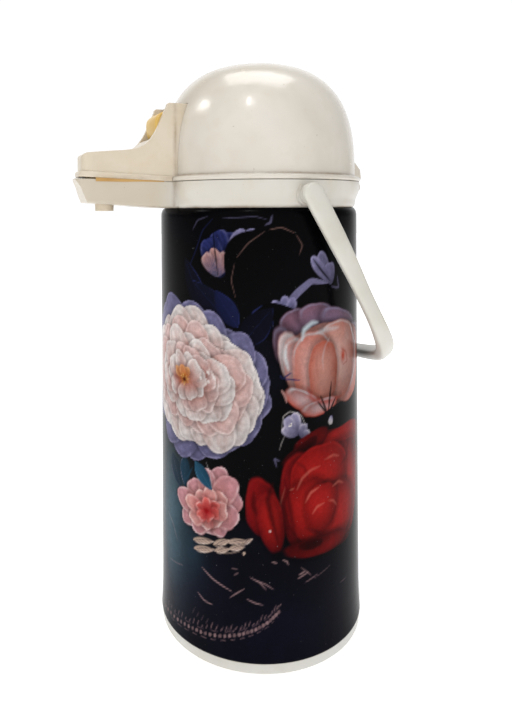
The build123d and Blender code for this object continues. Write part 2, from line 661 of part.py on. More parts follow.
with BuildPart() as lid_plate:
    with BuildSketch(Plane.XY.offset(ZS + 18.5)):
        Circle(60.6)
    extrude(amount=3.0)
    with BuildSketch(Plane.XY.offset(ZS + 21.5)):
        Circle(33.0)
        Circle(22.0, mode=Mode.SUBTRACT)
    extrude(amount=3.0)
    with BuildSketch(Plane.XY.offset(ZS + 21.5)):
        Circle(14.5)
        Circle(12.3, mode=Mode.SUBTRACT)
    extrude(amount=3.0)
    with BuildSketch(Plane.XY.offset(ZS + 10)):
        Polygon(*notch_points(BLOCK_BACK - 2.8, 90, 2.9), align=None)
    extrude(amount=20, mode=Mode.SUBTRACT)
    with BuildSketch(Plane.XY.offset(ZS + 10)):
        for a in (35, 145, 215, 325):
            with Locations((57.2 * math.cos(math.radians(a)), 57.2 * math.sin(math.radians(a)))):
                Circle(1.4)
        with PolarLocations(5.2, 4):
            Circle(1.5)
        Circle(1.2)
    extrude(amount=20, mode=Mode.SUBTRACT)
lid_plate.part.label = "lid_plate"

with BuildPart() as lid_gasket:
    with BuildSketch(Plane.XY.offset(ZS + 16.3)):
        Circle(32.0)
        Circle(25.0, mode=Mode.SUBTRACT)
    extrude(amount=2.2)
lid_gasket.part.label = "lid_gasket"

with BuildPart() as air_valve_flap:
    with BuildSketch(Plane.XY.offset(ZS + 17.6)):
        Circle(8.4)
    extrude(amount=0.9)
    with BuildSketch(Plane.XY.offset(ZS + 18.5)):
        Circle(1.15)
    extrude(amount=4.0)
    with BuildSketch(Plane.XY.offset(ZS + 21.6)):
        Circle(2.2)
    extrude(amount=1.2)
air_valve_flap.part.label = "air_valve_flap"

with BuildPart() as lid_screws:
    for a in (35, 145, 215, 325):
        qx, qy = 57.2 * math.cos(math.radians(a)), 57.2 * math.sin(math.radians(a))
        with BuildSketch(Plane.XY.offset(ZS + 18.5)):
            with Locations((qx, qy)):
                Circle(1.2)
        extrude(amount=11.0)
        with BuildSketch(Plane.XY.offset(ZS + 16.9)):
            with Locations((qx, qy)):
                Circle(2.9)
        extrude(amount=1.6)
lid_screws.part.label = "lid_screws"

# =============================================================================
# PUMP
# =============================================================================
with BuildPart() as bellows:
    with BuildSketch(Plane.XZ):
        with BuildLine():
            pleat_out, pleat_in = [], []
            z_lo, z_hi, folds = ZS + 24.5, ZS + 64.0, 5
            step = (z_hi - z_lo) / (2 * folds)
            for i in range(2 * folds + 1):
                r_mid = 25.5 if i % 2 == 0 else 31.5
                pleat_out.append((r_mid + 0.6, z_lo + i * step))
                pleat_in.append((r_mid - 0.6, z_lo + i * step))
            Polyline(*pleat_out, *pleat_in[::-1], close=True)
        make_face()
    revolve(axis=Axis.Z)
bellows.part.label = "bellows"

with BuildPart() as button_spring:
    with BuildSketch(Plane.XY.offset(ZS + 21.5)):
        Circle(12.0)
        Circle(11.2, mode=Mode.SUBTRACT)
    extrude(amount=42.5)
button_spring.part.label = "button_spring"

with BuildPart() as button_plunger:
    with BuildSketch(Plane.XZ):
        Polygon((0, ZS + 64.0), (33.0, ZS + 64.0), (33.0, ZS + 66.6), (19.4, ZS + 66.6), (19.4, ZS + 84.0),
                (17.4, ZS + 84.0), (17.4, ZS + 66.6), (0, ZS + 66.6), align=None)
    revolve(axis=Axis.Z)
button_plunger.part.label = "button_plunger"

with BuildPart() as push_button:
    with BuildSketch(Plane.XZ):
        with BuildLine():
            Spline((0, ZS + 93.4), (9.0, ZS + 93.3), (18.6, ZS + 92.6), tangents=((1, 0), (1, -0.2)))
            ThreePointArc((18.6, ZS + 92.6), (20.7, ZS + 91.7), (BUTTON_R, ZS + 89.8))
            Polyline((BUTTON_R, ZS + 89.8), (BUTTON_R, ZS + 69.0), (19.4, ZS + 69.0), (19.4, ZS + 90.0),
                     (0, ZS + 91.0), (0, ZS + 93.4))
        make_face()
    revolve(axis=Axis.Z)
    # gate mark at the pole
    with BuildSketch(Plane.XY.offset(ZS + 93.2)):
        Circle(2.3)
    extrude(amount=1.1, taper=20)
push_button.part.label = "push_button"

# =============================================================================
# BAIL HANDLE: side outline across the front outline, both in the bail's plane
# =============================================================================
tilt = math.radians(BAIL_TILT)


def bail_point(x, u, v):
    """x across, distance u down the arms and v behind them, to a row point."""
    return Vector(x, u * math.sin(tilt) + v * math.cos(tilt), PIVOT_Z - u * math.cos(tilt) + v * math.sin(tilt))


# x, u, v, then the section's width along v and its thickness
BAIL_ROUTE = [
    (72.25, 0.0, 0.0, 13.2, 5.5),
    (72.25, 30.0, 0.0, 12.3, 5.5),
    (72.25, 50.0, -0.3, 11.0, 5.5),
    (72.25, 68.0, -1.0, 9.7, 5.5),
    (72.2, 84.0, -1.5, 9.7, 5.8),
    (71.0, 95.5, -1.7, 10.6, 6.6),
    (66.8, 105.8, -1.0, 11.2, 7.6),
    (58.0, 113.9, 0.2, 10.6, 8.0),
    (43.0, 120.4, 2.5, 9.8, 7.8),
    (22.0, 125.9, 4.6, 9.2, 7.4),
    (0.0, 129.0, 5.4, 9.0, 7.4),
]
v_dir = Vector(0, math.cos(tilt), math.sin(tilt))


def smooth_rows(rows, steps=3):
    """Rows between the given ones on a Catmull-Rom curve; the last row mirrors across x = 0."""
    ends = [tuple(2 * a - b for a, b in zip(rows[0], rows[1]))] + rows
    ends.append((-rows[-2][0],) + rows[-2][1:])
    out = []
    for i in range(1, len(ends) - 2):
        p0, p1, p2, p3 = ends[i - 1:i + 3]
        for k in range(steps):
            q = k / steps
            out.append(tuple(0.5 * (2 * b + (c - a) * q + (2 * a - 5 * b + 4 * c - d) * q * q
                                    + (3 * b - a - 3 * c + d) * q ** 3) for a, b, c, d in zip(p0, p1, p2, p3)))
    return out + [rows[-1]]


rows = [BAIL_ROUTE[0], BAIL_ROUTE[1]] + smooth_rows(BAIL_ROUTE[2:])
spots = [bail_point(*row[:3]) for row in rows]
bail_planes = []
for i, row in enumerate(rows):
    if i == 0:
        along = (spots[1] - spots[0]).normalized()
    elif i == len(spots) - 1:
        along = Vector(-1, 0, 0)
    else:
        along = ((spots[i] - spots[i - 1]).normalized() + (spots[i + 1] - spots[i]).normalized()).normalized()
    across = (v_dir - along * v_dir.dot(along)).normalized()
    bail_planes.append(Plane(origin=spots[i], x_dir=across, z_dir=along))

with BuildPart() as bail_half:
    for row, where in zip(rows, bail_planes):
        with BuildSketch(where):
            RectangleRounded(row[3], row[4], 1.9)
    loft(ruled=True)

with BuildPart() as bail_end:
    with BuildSketch(Plane.YZ.offset(ARM_IN)):
        with Locations((0, PIVOT_Z)):
            Circle(6.8)
    extrude(amount=ARM_OUT - ARM_IN)
    fillet(bail_end.edges().filter_by(GeomType.CIRCLE), 1.4)

with BuildPart() as bail_handle:
    add(bail_half.part)
    add(bail_end.part)
    mirror(about=Plane.YZ)
    # stud sockets
    with BuildSketch(Plane.YZ.offset(-73.5)):
        with Locations((0, PIVOT_Z)):
            Circle(3.05)
    extrude(amount=147.0, mode=Mode.SUBTRACT)
bail_handle.part.label = "bail_handle"

# =============================================================================
PIECES = [base_ring, base_plug, liner_cushion, casing, liner_outer_wall, liner_inner_wall, neck_gasket,
          collar, hinge_pin, handle_studs, neck_ring, tube_seal, dip_tube, outlet_pipe, nozzle, spout_tray,
          spout_cover, cover_screws, latch_lever, latch_pin, latch_spring, dome_lid, lid_plate, lid_gasket,
          air_valve_flap, lid_screws, bellows, button_spring, button_plunger, push_button, bail_handle]
for piece in PIECES:
    export_step(piece.part, "parts/" + piece.part.label + ".step")
    print(piece.part.label, len(piece.part.solids()), round(piece.part.volume, 1))
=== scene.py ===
import bpy, bmesh, math
import numpy as np
from mathutils import Vector, Matrix


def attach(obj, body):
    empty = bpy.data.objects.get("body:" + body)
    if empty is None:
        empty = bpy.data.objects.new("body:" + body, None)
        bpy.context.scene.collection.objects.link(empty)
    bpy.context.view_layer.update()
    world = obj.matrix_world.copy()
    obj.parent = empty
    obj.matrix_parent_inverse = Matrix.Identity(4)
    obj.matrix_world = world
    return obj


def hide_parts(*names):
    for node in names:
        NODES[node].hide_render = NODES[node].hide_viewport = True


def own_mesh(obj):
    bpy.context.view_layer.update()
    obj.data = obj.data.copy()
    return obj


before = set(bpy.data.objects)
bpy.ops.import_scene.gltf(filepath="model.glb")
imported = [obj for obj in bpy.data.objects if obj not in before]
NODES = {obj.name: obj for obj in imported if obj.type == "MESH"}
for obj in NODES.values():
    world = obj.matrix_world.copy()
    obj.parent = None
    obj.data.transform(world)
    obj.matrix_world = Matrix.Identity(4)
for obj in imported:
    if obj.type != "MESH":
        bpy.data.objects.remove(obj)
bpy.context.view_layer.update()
RNG = np.random.default_rng(11)

# ---------------------------------------------------------------- dimensions (metres)
MM = 0.001
R = 65.0
BASE_H = 6.8
ZS = 266.8                     # seam between casing and collar
PIVOT_Z = ZS + 7.7
TILT = math.radians(30.5)

# ---------------------------------------------------------------- camera
ALPHA = math.radians(23.0)     # the spout turns this far towards the camera
look = Vector((-math.cos(ALPHA), math.sin(ALPHA), 0))
right = Vector((math.sin(ALPHA), math.cos(ALPHA), 0))
up = Vector((0, 0, 1))
cam_data = bpy.data.cameras.new("camera")
cam = bpy.data.objects.new("camera", cam_data)
bpy.context.scene.collection.objects.link(cam)
bpy.context.scene.camera = cam
cam_data.sensor_width = 36.0
cam_data.lens = 30.935
cam_data.shift_x = 0.0415
cam_data.shift_y = -0.2117
cam_data.clip_start, cam_data.clip_end = 0.01, 30
ROLL = 0.0056
r2 = right * math.cos(ROLL) - up * math.sin(ROLL)
u2 = up * math.cos(ROLL) + right * math.sin(ROLL)
loc = (-417.9 * look - 21.5 * right) * MM + Vector((0, 0, (ZS + 0.1) * MM))
cam.matrix_world = Matrix(((r2.x, u2.x, -look.x, loc.x), (r2.y, u2.y, -look.y, loc.y),
                           (r2.z, u2.z, -look.z, loc.z), (0, 0, 0, 1)))

# ---------------------------------------------------------------- light, floor, world
scene = bpy.context.scene
scene.view_settings.view_transform = "Standard"
world = bpy.data.worlds.new("studio")
scene.world = world
world.use_nodes = True
wt = world.node_tree
wn = wt.nodes
# a white studio, dimmer on the photographer's side
w_co = wn.new("ShaderNodeTexCoord")
w_dot = wn.new("ShaderNodeVectorMath")
w_dot.operation = "DOT_PRODUCT"
w_dot.inputs[1].default_value = tuple(-look)
wt.links.new(w_co.outputs["Generated"], w_dot.inputs[0])
w_map = wn.new("ShaderNodeMapRange")
w_map.inputs["From Min"].default_value = -1.0
w_map.inputs["From Max"].default_value = 1.0
wt.links.new(w_dot.outputs["Value"], w_map.inputs["Value"])
w_ramp = wn.new("ShaderNodeValToRGB")
for e, (p, v) in zip((w_ramp.color_ramp.elements[0], w_ramp.color_ramp.elements[1], w_ramp.color_ramp.elements.new(0.5),
                      w_ramp.color_ramp.elements.new(0.22), w_ramp.color_ramp.elements.new(0.72),
                      w_ramp.color_ramp.elements.new(0.10)),
                     ((0.0, 1.0), (1.0, 0.10), (0.5, 0.45), (0.22, 0.62), (0.72, 0.22), (0.10, 1.0))):
    e.position = p
    e.color = (v * 0.99, v * 0.995, v, 1)
wt.links.new(w_map.outputs["Result"], w_ramp.inputs[0])
wt.links.new(w_ramp.outputs["Color"], wn["Background"].inputs["Color"])
wn["Background"].inputs["Strength"].default_value = 1.06


def area(name, at, target, size, power, colour=(1, 1, 1), size_y=None, mirrored=True):
    d = bpy.data.lights.new(name, "AREA")
    d.energy = power
    d.color = colour
    d.shape = "RECTANGLE"
    d.size = size
    d.size_y = size_y or size
    o = bpy.data.objects.new(name, d)
    scene.collection.objects.link(o)
    o.location = at
    o.rotation_mode = "QUATERNION"
    o.rotation_quaternion = (Vector(target) - Vector(at)).to_track_quat("-Z", "Y")
    o.visible_glossy = mirrored
    return o


def cam_point(x, y, z):
    """Metres right of, in front of the pot (towards the camera) and above the floor."""
    return right * x - look * y + up * z


area("window_left", cam_point(-1.18, 0.08, 1.26), (0, 0, 0.33), 0.36, 3.4, (1.0, 0.99, 0.97), 0.26)
area("window_front", cam_point(-0.27, 0.93, 1.47), (0, 0, 0.33), 0.16, 2.7, (1.0, 0.99, 0.97), 0.26)
area("key", cam_point(-0.85, 0.95, 0.85), (0, 0, 0.25), 0.9, 0.4, (1.0, 0.985, 0.97), 0.9, mirrored=False)
area("fill", cam_point(1.0, 0.8, 0.5), (0, 0, 0.18), 0.9, 0.5, (0.96, 0.98, 1.0), 0.9, mirrored=False)
area("top", cam_point(0.02, -0.08, 1.40), (0, 0, 0.3), 0.95, 7.5, (1, 1, 1), 0.62)

floor_mesh = bpy.data.meshes.new("floor")
floor = bpy.data.objects.new("floor", floor_mesh)
scene.collection.objects.link(floor)
bm = bmesh.new()
bmesh.ops.create_circle(bm, cap_ends=True, segments=96, radius=6.0)
bm.to_mesh(floor_mesh)
bm.free()
floor.location = (0, 0, -0.0004)


# ---------------------------------------------------------------- node material helpers
def new_mat(name):
    m = bpy.data.materials.new(name)
    m.use_nodes = True
    nt = m.node_tree
    for n in list(nt.nodes):
        nt.nodes.remove(n)
    out = nt.nodes.new("ShaderNodeOutputMaterial")
    bsdf = nt.nodes.new("ShaderNodeBsdfPrincipled")
    nt.links.new(bsdf.outputs[0], out.inputs[0])
    return m, nt, bsdf


def node(nt, kind, **kw):
    n = nt.nodes.new("ShaderNode" + kind)
    for k, v in kw.items():
        if k in n.inputs:
            n.inputs[k].default_value = v
        else:
            setattr(n, k, v)
    return n


def noise(nt, coord, scale, detail=4.0, rough=0.55, dist=0.0):
    n = node(nt, "TexNoise")
    n.inputs["Scale"].default_value = scale
    n.inputs["Detail"].default_value = detail
    n.inputs["Roughness"].default_value = rough
    n.inputs["Distortion"].default_value = dist
    nt.links.new(coord, n.inputs["Vector"])
    return n.outputs["Fac"]


def ramp(nt, fac, stops):
    n = node(nt, "ValToRGB")
    el = n.color_ramp.elements
    while len(el) < len(stops):
        el.new(0.5)
    for e, (p, c) in zip(el, stops):
        e.position = p
        e.color = c if len(c) == 4 else (*c, 1)
    nt.links.new(fac, n.inputs[0])
    return n.outputs["Color"]


def mix(nt, fac, a, b, mode="MIX"):
    n = node(nt, "Mix", data_type="RGBA", blend_type=mode)
    if isinstance(fac, (int, float)):
        n.inputs[0].default_value = fac
    else:
        nt.links.new(fac, n.inputs[0])
    for sock, v in ((n.inputs[6], a), (n.inputs[7], b)):
        if isinstance(v, tuple):
            sock.default_value = (*v, 1) if len(v) == 3 else v
        else:
            nt.links.new(v, sock)
    return n.outputs[2]


def math_node(nt, op, a, b=None, c=None, clamp=False):
    n = node(nt, "Math", operation=op, use_clamp=clamp)
    for i, v in enumerate((a, b, c)):
        if v is None:
            continue
        if isinstance(v, (int, float)):
            n.inputs[i].default_value = v
        else:
            nt.links.new(v, n.inputs[i])
    return n.outputs[0]


def band(nt, value, centre, half):
    """1 at centre, falling to 0 at centre +- half."""
    d = math_node(nt, "ABSOLUTE", math_node(nt, "SUBTRACT", value, centre))
    return math_node(nt, "SUBTRACT", 1.0, math_node(nt, "DIVIDE", d, half), clamp=True)


def lin(r, g, b):
    """sRGB 0-255 to linear."""
    out = []
    for c in (r, g, b):
        c /= 255.0
        out.append(c / 12.92 if c <= 0.04045 else ((c + 0.055) / 1.055) ** 2.4)
    return tuple(out)


def plastic(name, light, dark, rough=0.3, dirt_and_shade_colour=(120, 92, 58), lines=(), crease_dirt_and_shade=0.5, bump=0.15, coat=0.15,
            yellow=0.35, tint=None):
    """Aged moulded plastic: cloudy yellowing, faint sink and polish marks, fine scratches, and brown darkening in
    creases that is part dirt, part painted shade.
    tint is (axis index, start mm, end mm, colour factors) for a part that yellowed more towards one end.
    lines is a list of (axis index, centre mm, half width mm) planes, at seams and creases, along which the colour
    darkens to brown: dirt there, and painted shade."""
    m, nt, b = new_mat(name)
    geo = node(nt, "TexCoord")
    obj = geo.outputs["Object"]
    big = noise(nt, obj, 14, 3, 0.6, 0.4)
    mid = noise(nt, obj, 70, 4, 0.6)
    fine = noise(nt, obj, 900, 3, 0.7)
    base = mix(nt, ramp(nt, big, [(0.32, (0, 0, 0)), (0.72, (1, 1, 1))]), lin(*light), lin(*dark))
    if tint:
        axis, start, end, factors = tint
        at_ = node(nt, "SeparateXYZ")
        nt.links.new(obj, at_.inputs[0])
        ease = node(nt, "MapRange", interpolation_type="SMOOTHSTEP")
        ease.inputs["From Min"].default_value = start * MM
        ease.inputs["From Max"].default_value = end * MM
        nt.links.new(at_.outputs[axis], ease.inputs["Value"])
        base = mix(nt, ease.outputs["Result"], base, mix(nt, 1.0, base, factors, "MULTIPLY"))
    yel = tuple(c * k for c, k in zip(lin(*dark), (1.0, 0.93, 0.78)))
    base = mix(nt, math_node(nt, "MULTIPLY", ramp(nt, mid, [(0.5, (0, 0, 0)), (0.75, (1, 1, 1))]), yellow), base, yel)
    # small dark specks and rubbed marks
    specks = noise(nt, obj, 420, 2, 0.5)
    base = mix(nt, math_node(nt, "MULTIPLY", ramp(nt, specks, [(0.735, (0, 0, 0)), (0.78, (1, 1, 1))]), 0.35),
               base, lin(*dirt_and_shade_colour))
    # dirt and painted shade: brown bands along the seam and crease planes
    if lines:
        sep = node(nt, "SeparateXYZ")
        nt.links.new(obj, sep.inputs[0])
        total = None
        for axis, centre, half in lines:
            f = band(nt, sep.outputs[axis], centre * MM, half * MM)
            total = f if total is None else math_node(nt, "MAXIMUM", total, f)
        total = math_node(nt, "POWER", total, 1.6)
        patch = ramp(nt, noise(nt, obj, 55, 5, 0.65), [(0.35, (0.1, 0.1, 0.1)), (0.68, (1, 1, 1))])
        total = math_node(nt, "MULTIPLY", math_node(nt, "MULTIPLY", total, patch), crease_dirt_and_shade, clamp=True)
        base = mix(nt, total, base, lin(*dirt_and_shade_colour))
    nt.links.new(base, b.inputs["Base Color"])
    rr = math_node(nt, "ADD", math_node(nt, "MULTIPLY", mid, 0.16), rough - 0.08)
    scratch = node(nt, "TexNoise")
    sc_map = node(nt, "Mapping")
    sc_map.inputs["Scale"].default_value = (1, 1, 14)
    sc_map.inputs["Rotation"].default_value = (0.5, 0.9, 0.2)
    nt.links.new(obj, sc_map.inputs[0])
    nt.links.new(sc_map.outputs[0], scratch.inputs["Vector"])
    scratch.inputs["Scale"].default_value = 160
    scratch.inputs["Detail"].default_value = 5
    rr = math_node(nt, "ADD", rr, math_node(nt, "MULTIPLY", scratch.outputs["Fac"], 0.06))
    nt.links.new(rr, b.inputs["Roughness"])
    bp = node(nt, "Bump")
    bp.inputs["Strength"].default_value = bump
    bp.inputs["Distance"].default_value = 0.0004
    h = math_node(nt, "ADD", math_node(nt, "MULTIPLY", mid, 0.7), math_node(nt, "MULTIPLY", fine, 0.12))
    h = math_node(nt, "ADD", h, math_node(nt, "MULTIPLY", scratch.outputs["Fac"], 0.12))
    nt.links.new(h, bp.inputs["Height"])
    nt.links.new(bp.outputs[0], b.inputs["Normal"])
    b.inputs["Coat Weight"].default_value = coat
    b.inputs["Coat Roughness"].default_value = 0.07
    b.inputs["IOR"].default_value = 1.5
    b.inputs["Subsurface Weight"].default_value = 0.0
    return m


def metal(name, colour, rough=0.35):
    m, nt, b = new_mat(name)
    obj = node(nt, "TexCoord").outputs["Object"]
    n1 = noise(nt, obj, 260, 4, 0.6)
    n2 = noise(nt, obj, 1400, 3, 0.6)
    nt.links.new(mix(nt, n1, lin(*colour), tuple(c * 0.7 for c in lin(*colour))), b.inputs["Base Color"])
    b.inputs["Metallic"].default_value = 1.0
    nt.links.new(math_node(nt, "ADD", math_node(nt, "MULTIPLY", n1, 0.25), rough - 0.1), b.inputs["Roughness"])
    bp = node(nt, "Bump")
    bp.inputs["Strength"].default_value = 0.2
    bp.inputs["Distance"].default_value = 0.0002
    nt.links.new(n2, bp.inputs["Height"])
    nt.links.new(bp.outputs[0], b.inputs["Normal"])
    return m


def rubber(name, colour, rough=0.6):
    m, nt, b = new_mat(name)
    obj = node(nt, "TexCoord").outputs["Object"]
    n1 = noise(nt, obj, 120, 5, 0.6)
    n2 = noise(nt, obj, 1700, 3, 0.7)
    nt.links.new(mix(nt, n1, lin(*colour), tuple(c * 0.78 for c in lin(*colour))), b.inputs["Base Color"])
    nt.links.new(math_node(nt, "ADD", math_node(nt, "MULTIPLY", n1, 0.2), rough - 0.1), b.inputs["Roughness"])
    bp = node(nt, "Bump")
    bp.inputs["Strength"].default_value = 0.3
    bp.inputs["Distance"].default_value = 0.0002
    nt.links.new(n2, bp.inputs["Height"])
    nt.links.new(bp.outputs[0], b.inputs["Normal"])
    return m


# floor: pale paper that glows, a painted light: its emission grows with distance from the pot, so the far floor reads
# white and the floor round the pot is less bright
m, nt, b = new_mat("glowing_floor_paper")
obj = node(nt, "TexCoord").outputs["Object"]
nt.links.new(mix(nt, noise(nt, obj, 30, 4), (0.95, 0.95, 0.95), (0.93, 0.93, 0.935)), b.inputs["Base Color"])
b.inputs["Roughness"].default_value = 0.8
b.inputs["Specular IOR Level"].default_value = 0.1
far = node(nt, "VectorMath", operation="LENGTH")
nt.links.new(obj, far.inputs[0])
reach = node(nt, "MapRange", interpolation_type="SMOOTHSTEP")
reach.inputs["From Min"].default_value = 0.10
reach.inputs["From Max"].default_value = 0.9
reach.inputs["To Min"].default_value = 0.46
reach.inputs["To Max"].default_value = 0.74
nt.links.new(far.outputs["Value"], reach.inputs["Value"])
b.inputs["Emission Color"].default_value = (1, 1, 1, 1)
nt.links.new(reach.outputs["Result"], b.inputs["Emission Strength"])
floor.data.materials.append(m)

# the lines of each plastic mark seams and creases darkened with dirt and painted shade
MAT = {
    "dome": plastic("ivory_dome", (211, 205, 195), (195, 187, 174), rough=0.21, bump=0.06, coat=0.22,
                    lines=[(2, ZS + 20.0, 1.6)], crease_dirt_and_shade=0.75, yellow=0.25),
    "spout": plastic("ivory_spout", (215, 204, 186), (198, 184, 161), rough=0.33,
                     lines=[(2, ZS + 18.0, 3.0), (1, -63.5, 2.4)], crease_dirt_and_shade=0.55, yellow=0.5),
    "collar": plastic("ivory_collar", (204, 200, 192), (192, 186, 174), rough=0.28,
                      lines=[(2, ZS + 0.3, 1.8), (1, -64.5, 2.6)], crease_dirt_and_shade=0.8, tint=(1, -62.0, -78.0, (0.93, 0.86, 0.76))),
    "ring": plastic("white_ring", (214, 213, 208), (195, 192, 183), rough=0.32, lines=[(2, 6.8, 1.2)], crease_dirt_and_shade=0.6),
    "bail": plastic("bail_plastic", (208, 206, 198), (192, 188, 177), rough=0.34, bump=0.2),
    "inner": plastic("inner_plastic", (222, 216, 200), (200, 190, 168), rough=0.45, bump=0.2, coat=0.0),
    # ochre: yellowed plastic, darkened as painted shade of the recess behind the spout's gap
    "ochre": plastic("aged_and_shaded_strip", (200, 160, 96), (168, 126, 66), rough=0.5, bump=0.2, coat=0.0),
    "yellow": plastic("yellow_lever", (225, 192, 104), (202, 160, 76), rough=0.35, bump=0.2, yellow=0.5),
    "rubber": rubber("grey_rubber", (150, 146, 138)),
    "bellows": rubber("bellows_rubber", (214, 206, 184), 0.5),
    "steel": metal("zinc_steel", (190, 190, 192)),
    "silver": metal("silvered_glass", (214, 217, 220), 0.16),
}


def give(names, mat):
    for n in names:
        o = NODES[n]
        o.data.materials.clear()
        o.data.materials.append(mat)


give(["dome_lid", "push_button"], MAT["dome"])
give(["spout_cover", "nozzle"], MAT["spout"])
give(["collar", "handle_studs"], MAT["collar"])
give(["base_ring", "base_plug"], MAT["ring"])
give(["neck_ring", "dip_tube", "outlet_pipe", "lid_plate", "button_plunger"], MAT["inner"])
# the tray's ochre is yellowing plus painted shade of its recess
give(["spout_tray"], MAT["ochre"])
give(["latch_lever"], MAT["yellow"])
give(["neck_gasket", "tube_seal", "lid_gasket", "air_valve_flap", "liner_cushion"], MAT["rubber"])
give(["bellows"], MAT["bellows"])
give(["hinge_pin", "cover_screws", "lid_screws", "latch_pin", "latch_spring", "button_spring"], MAT["steel"])
give(["liner_outer_wall", "liner_inner_wall"], MAT["silver"])


# ---------------------------------------------------------------- mesh helpers
def mesh_object(name, verts, faces, mat, smooth=True):
    me = bpy.data.meshes.new(name)
    me.from_pydata([tuple(v) for v in verts], [], faces)
    me.validate()
    me.materials.append(mat)
    if smooth:
        me.polygons.foreach_set("use_smooth", [True] * len(me.polygons))
    o = bpy.data.objects.new(name, me)
    scene.collection.objects.link(o)
    return o


def soften(name, width, angle=32, segments=3):
    """Rounded edges on a carried-over CAD node: weld the seams, then bevel sharp edges."""
    o = NODES[name]
    w = o.modifiers.new("weld", "WELD")
    w.merge_threshold = 0.00002
    d = o.modifiers.new("planar", "DECIMATE")
    d.decimate_type = "DISSOLVE"
    d.angle_limit = math.radians(0.6)
    b = o.modifiers.new("edges", "BEVEL")
    b.width = width * MM
    b.segments = segments
    b.limit_method = "ANGLE"
    b.angle_limit = math.radians(angle)
    b.use_clamp_overlap = True
    b.harden_normals = False
    n = o.modifiers.new("normals", "WEIGHTED_NORMAL")
    n.keep_sharp = True
    o.data.polygons.foreach_set("use_smooth", [True] * len(o.data.polygons))


# ---------------------------------------------------------------- painted casing
N_A = 584            # round the casing
ARC = 2 * math.pi * R / N_A
Z0, Z1 = BASE_H, ZS - 0.05


def casing_radius(z):
    flare = np.interp(z, [BASE_H, 12, 17, 24, 32, 400], [0.8, 0.47, 0.25, 0.06, 0.0, 0.0])
    t = np.clip((z - (ZS - 5.5)) / 5.45, 0, 1)
    return R + flare - 3.0 * (1 - np.sqrt(np.clip(1 - t ** 2.2, 0, 1)))


# vertical stations, closer at the rolled top edge
n_z = int((Z1 - 6.5 - Z0) / (0.72))
zs = list(np.linspace(Z0, Z1 - 6.5, n_z, endpoint=False))
zs += [Z1 - 6.5 + 6.5 * math.sin(math.pi / 2 * q) for q in np.linspace(0, 1, 15)]
zs = np.array(zs)
rs = casing_radius(zs)
NZ = len(zs)
CAM_ANGLE = -ALPHA                     # direction of the camera seen from the axis
ang = CAM_ANGLE + np.arange(N_A) * 2 * math.pi / N_A - math.pi
A, Zg = np.meshgrid((ang - CAM_ANGLE) * R, zs)      # arc length right of the camera's side, height


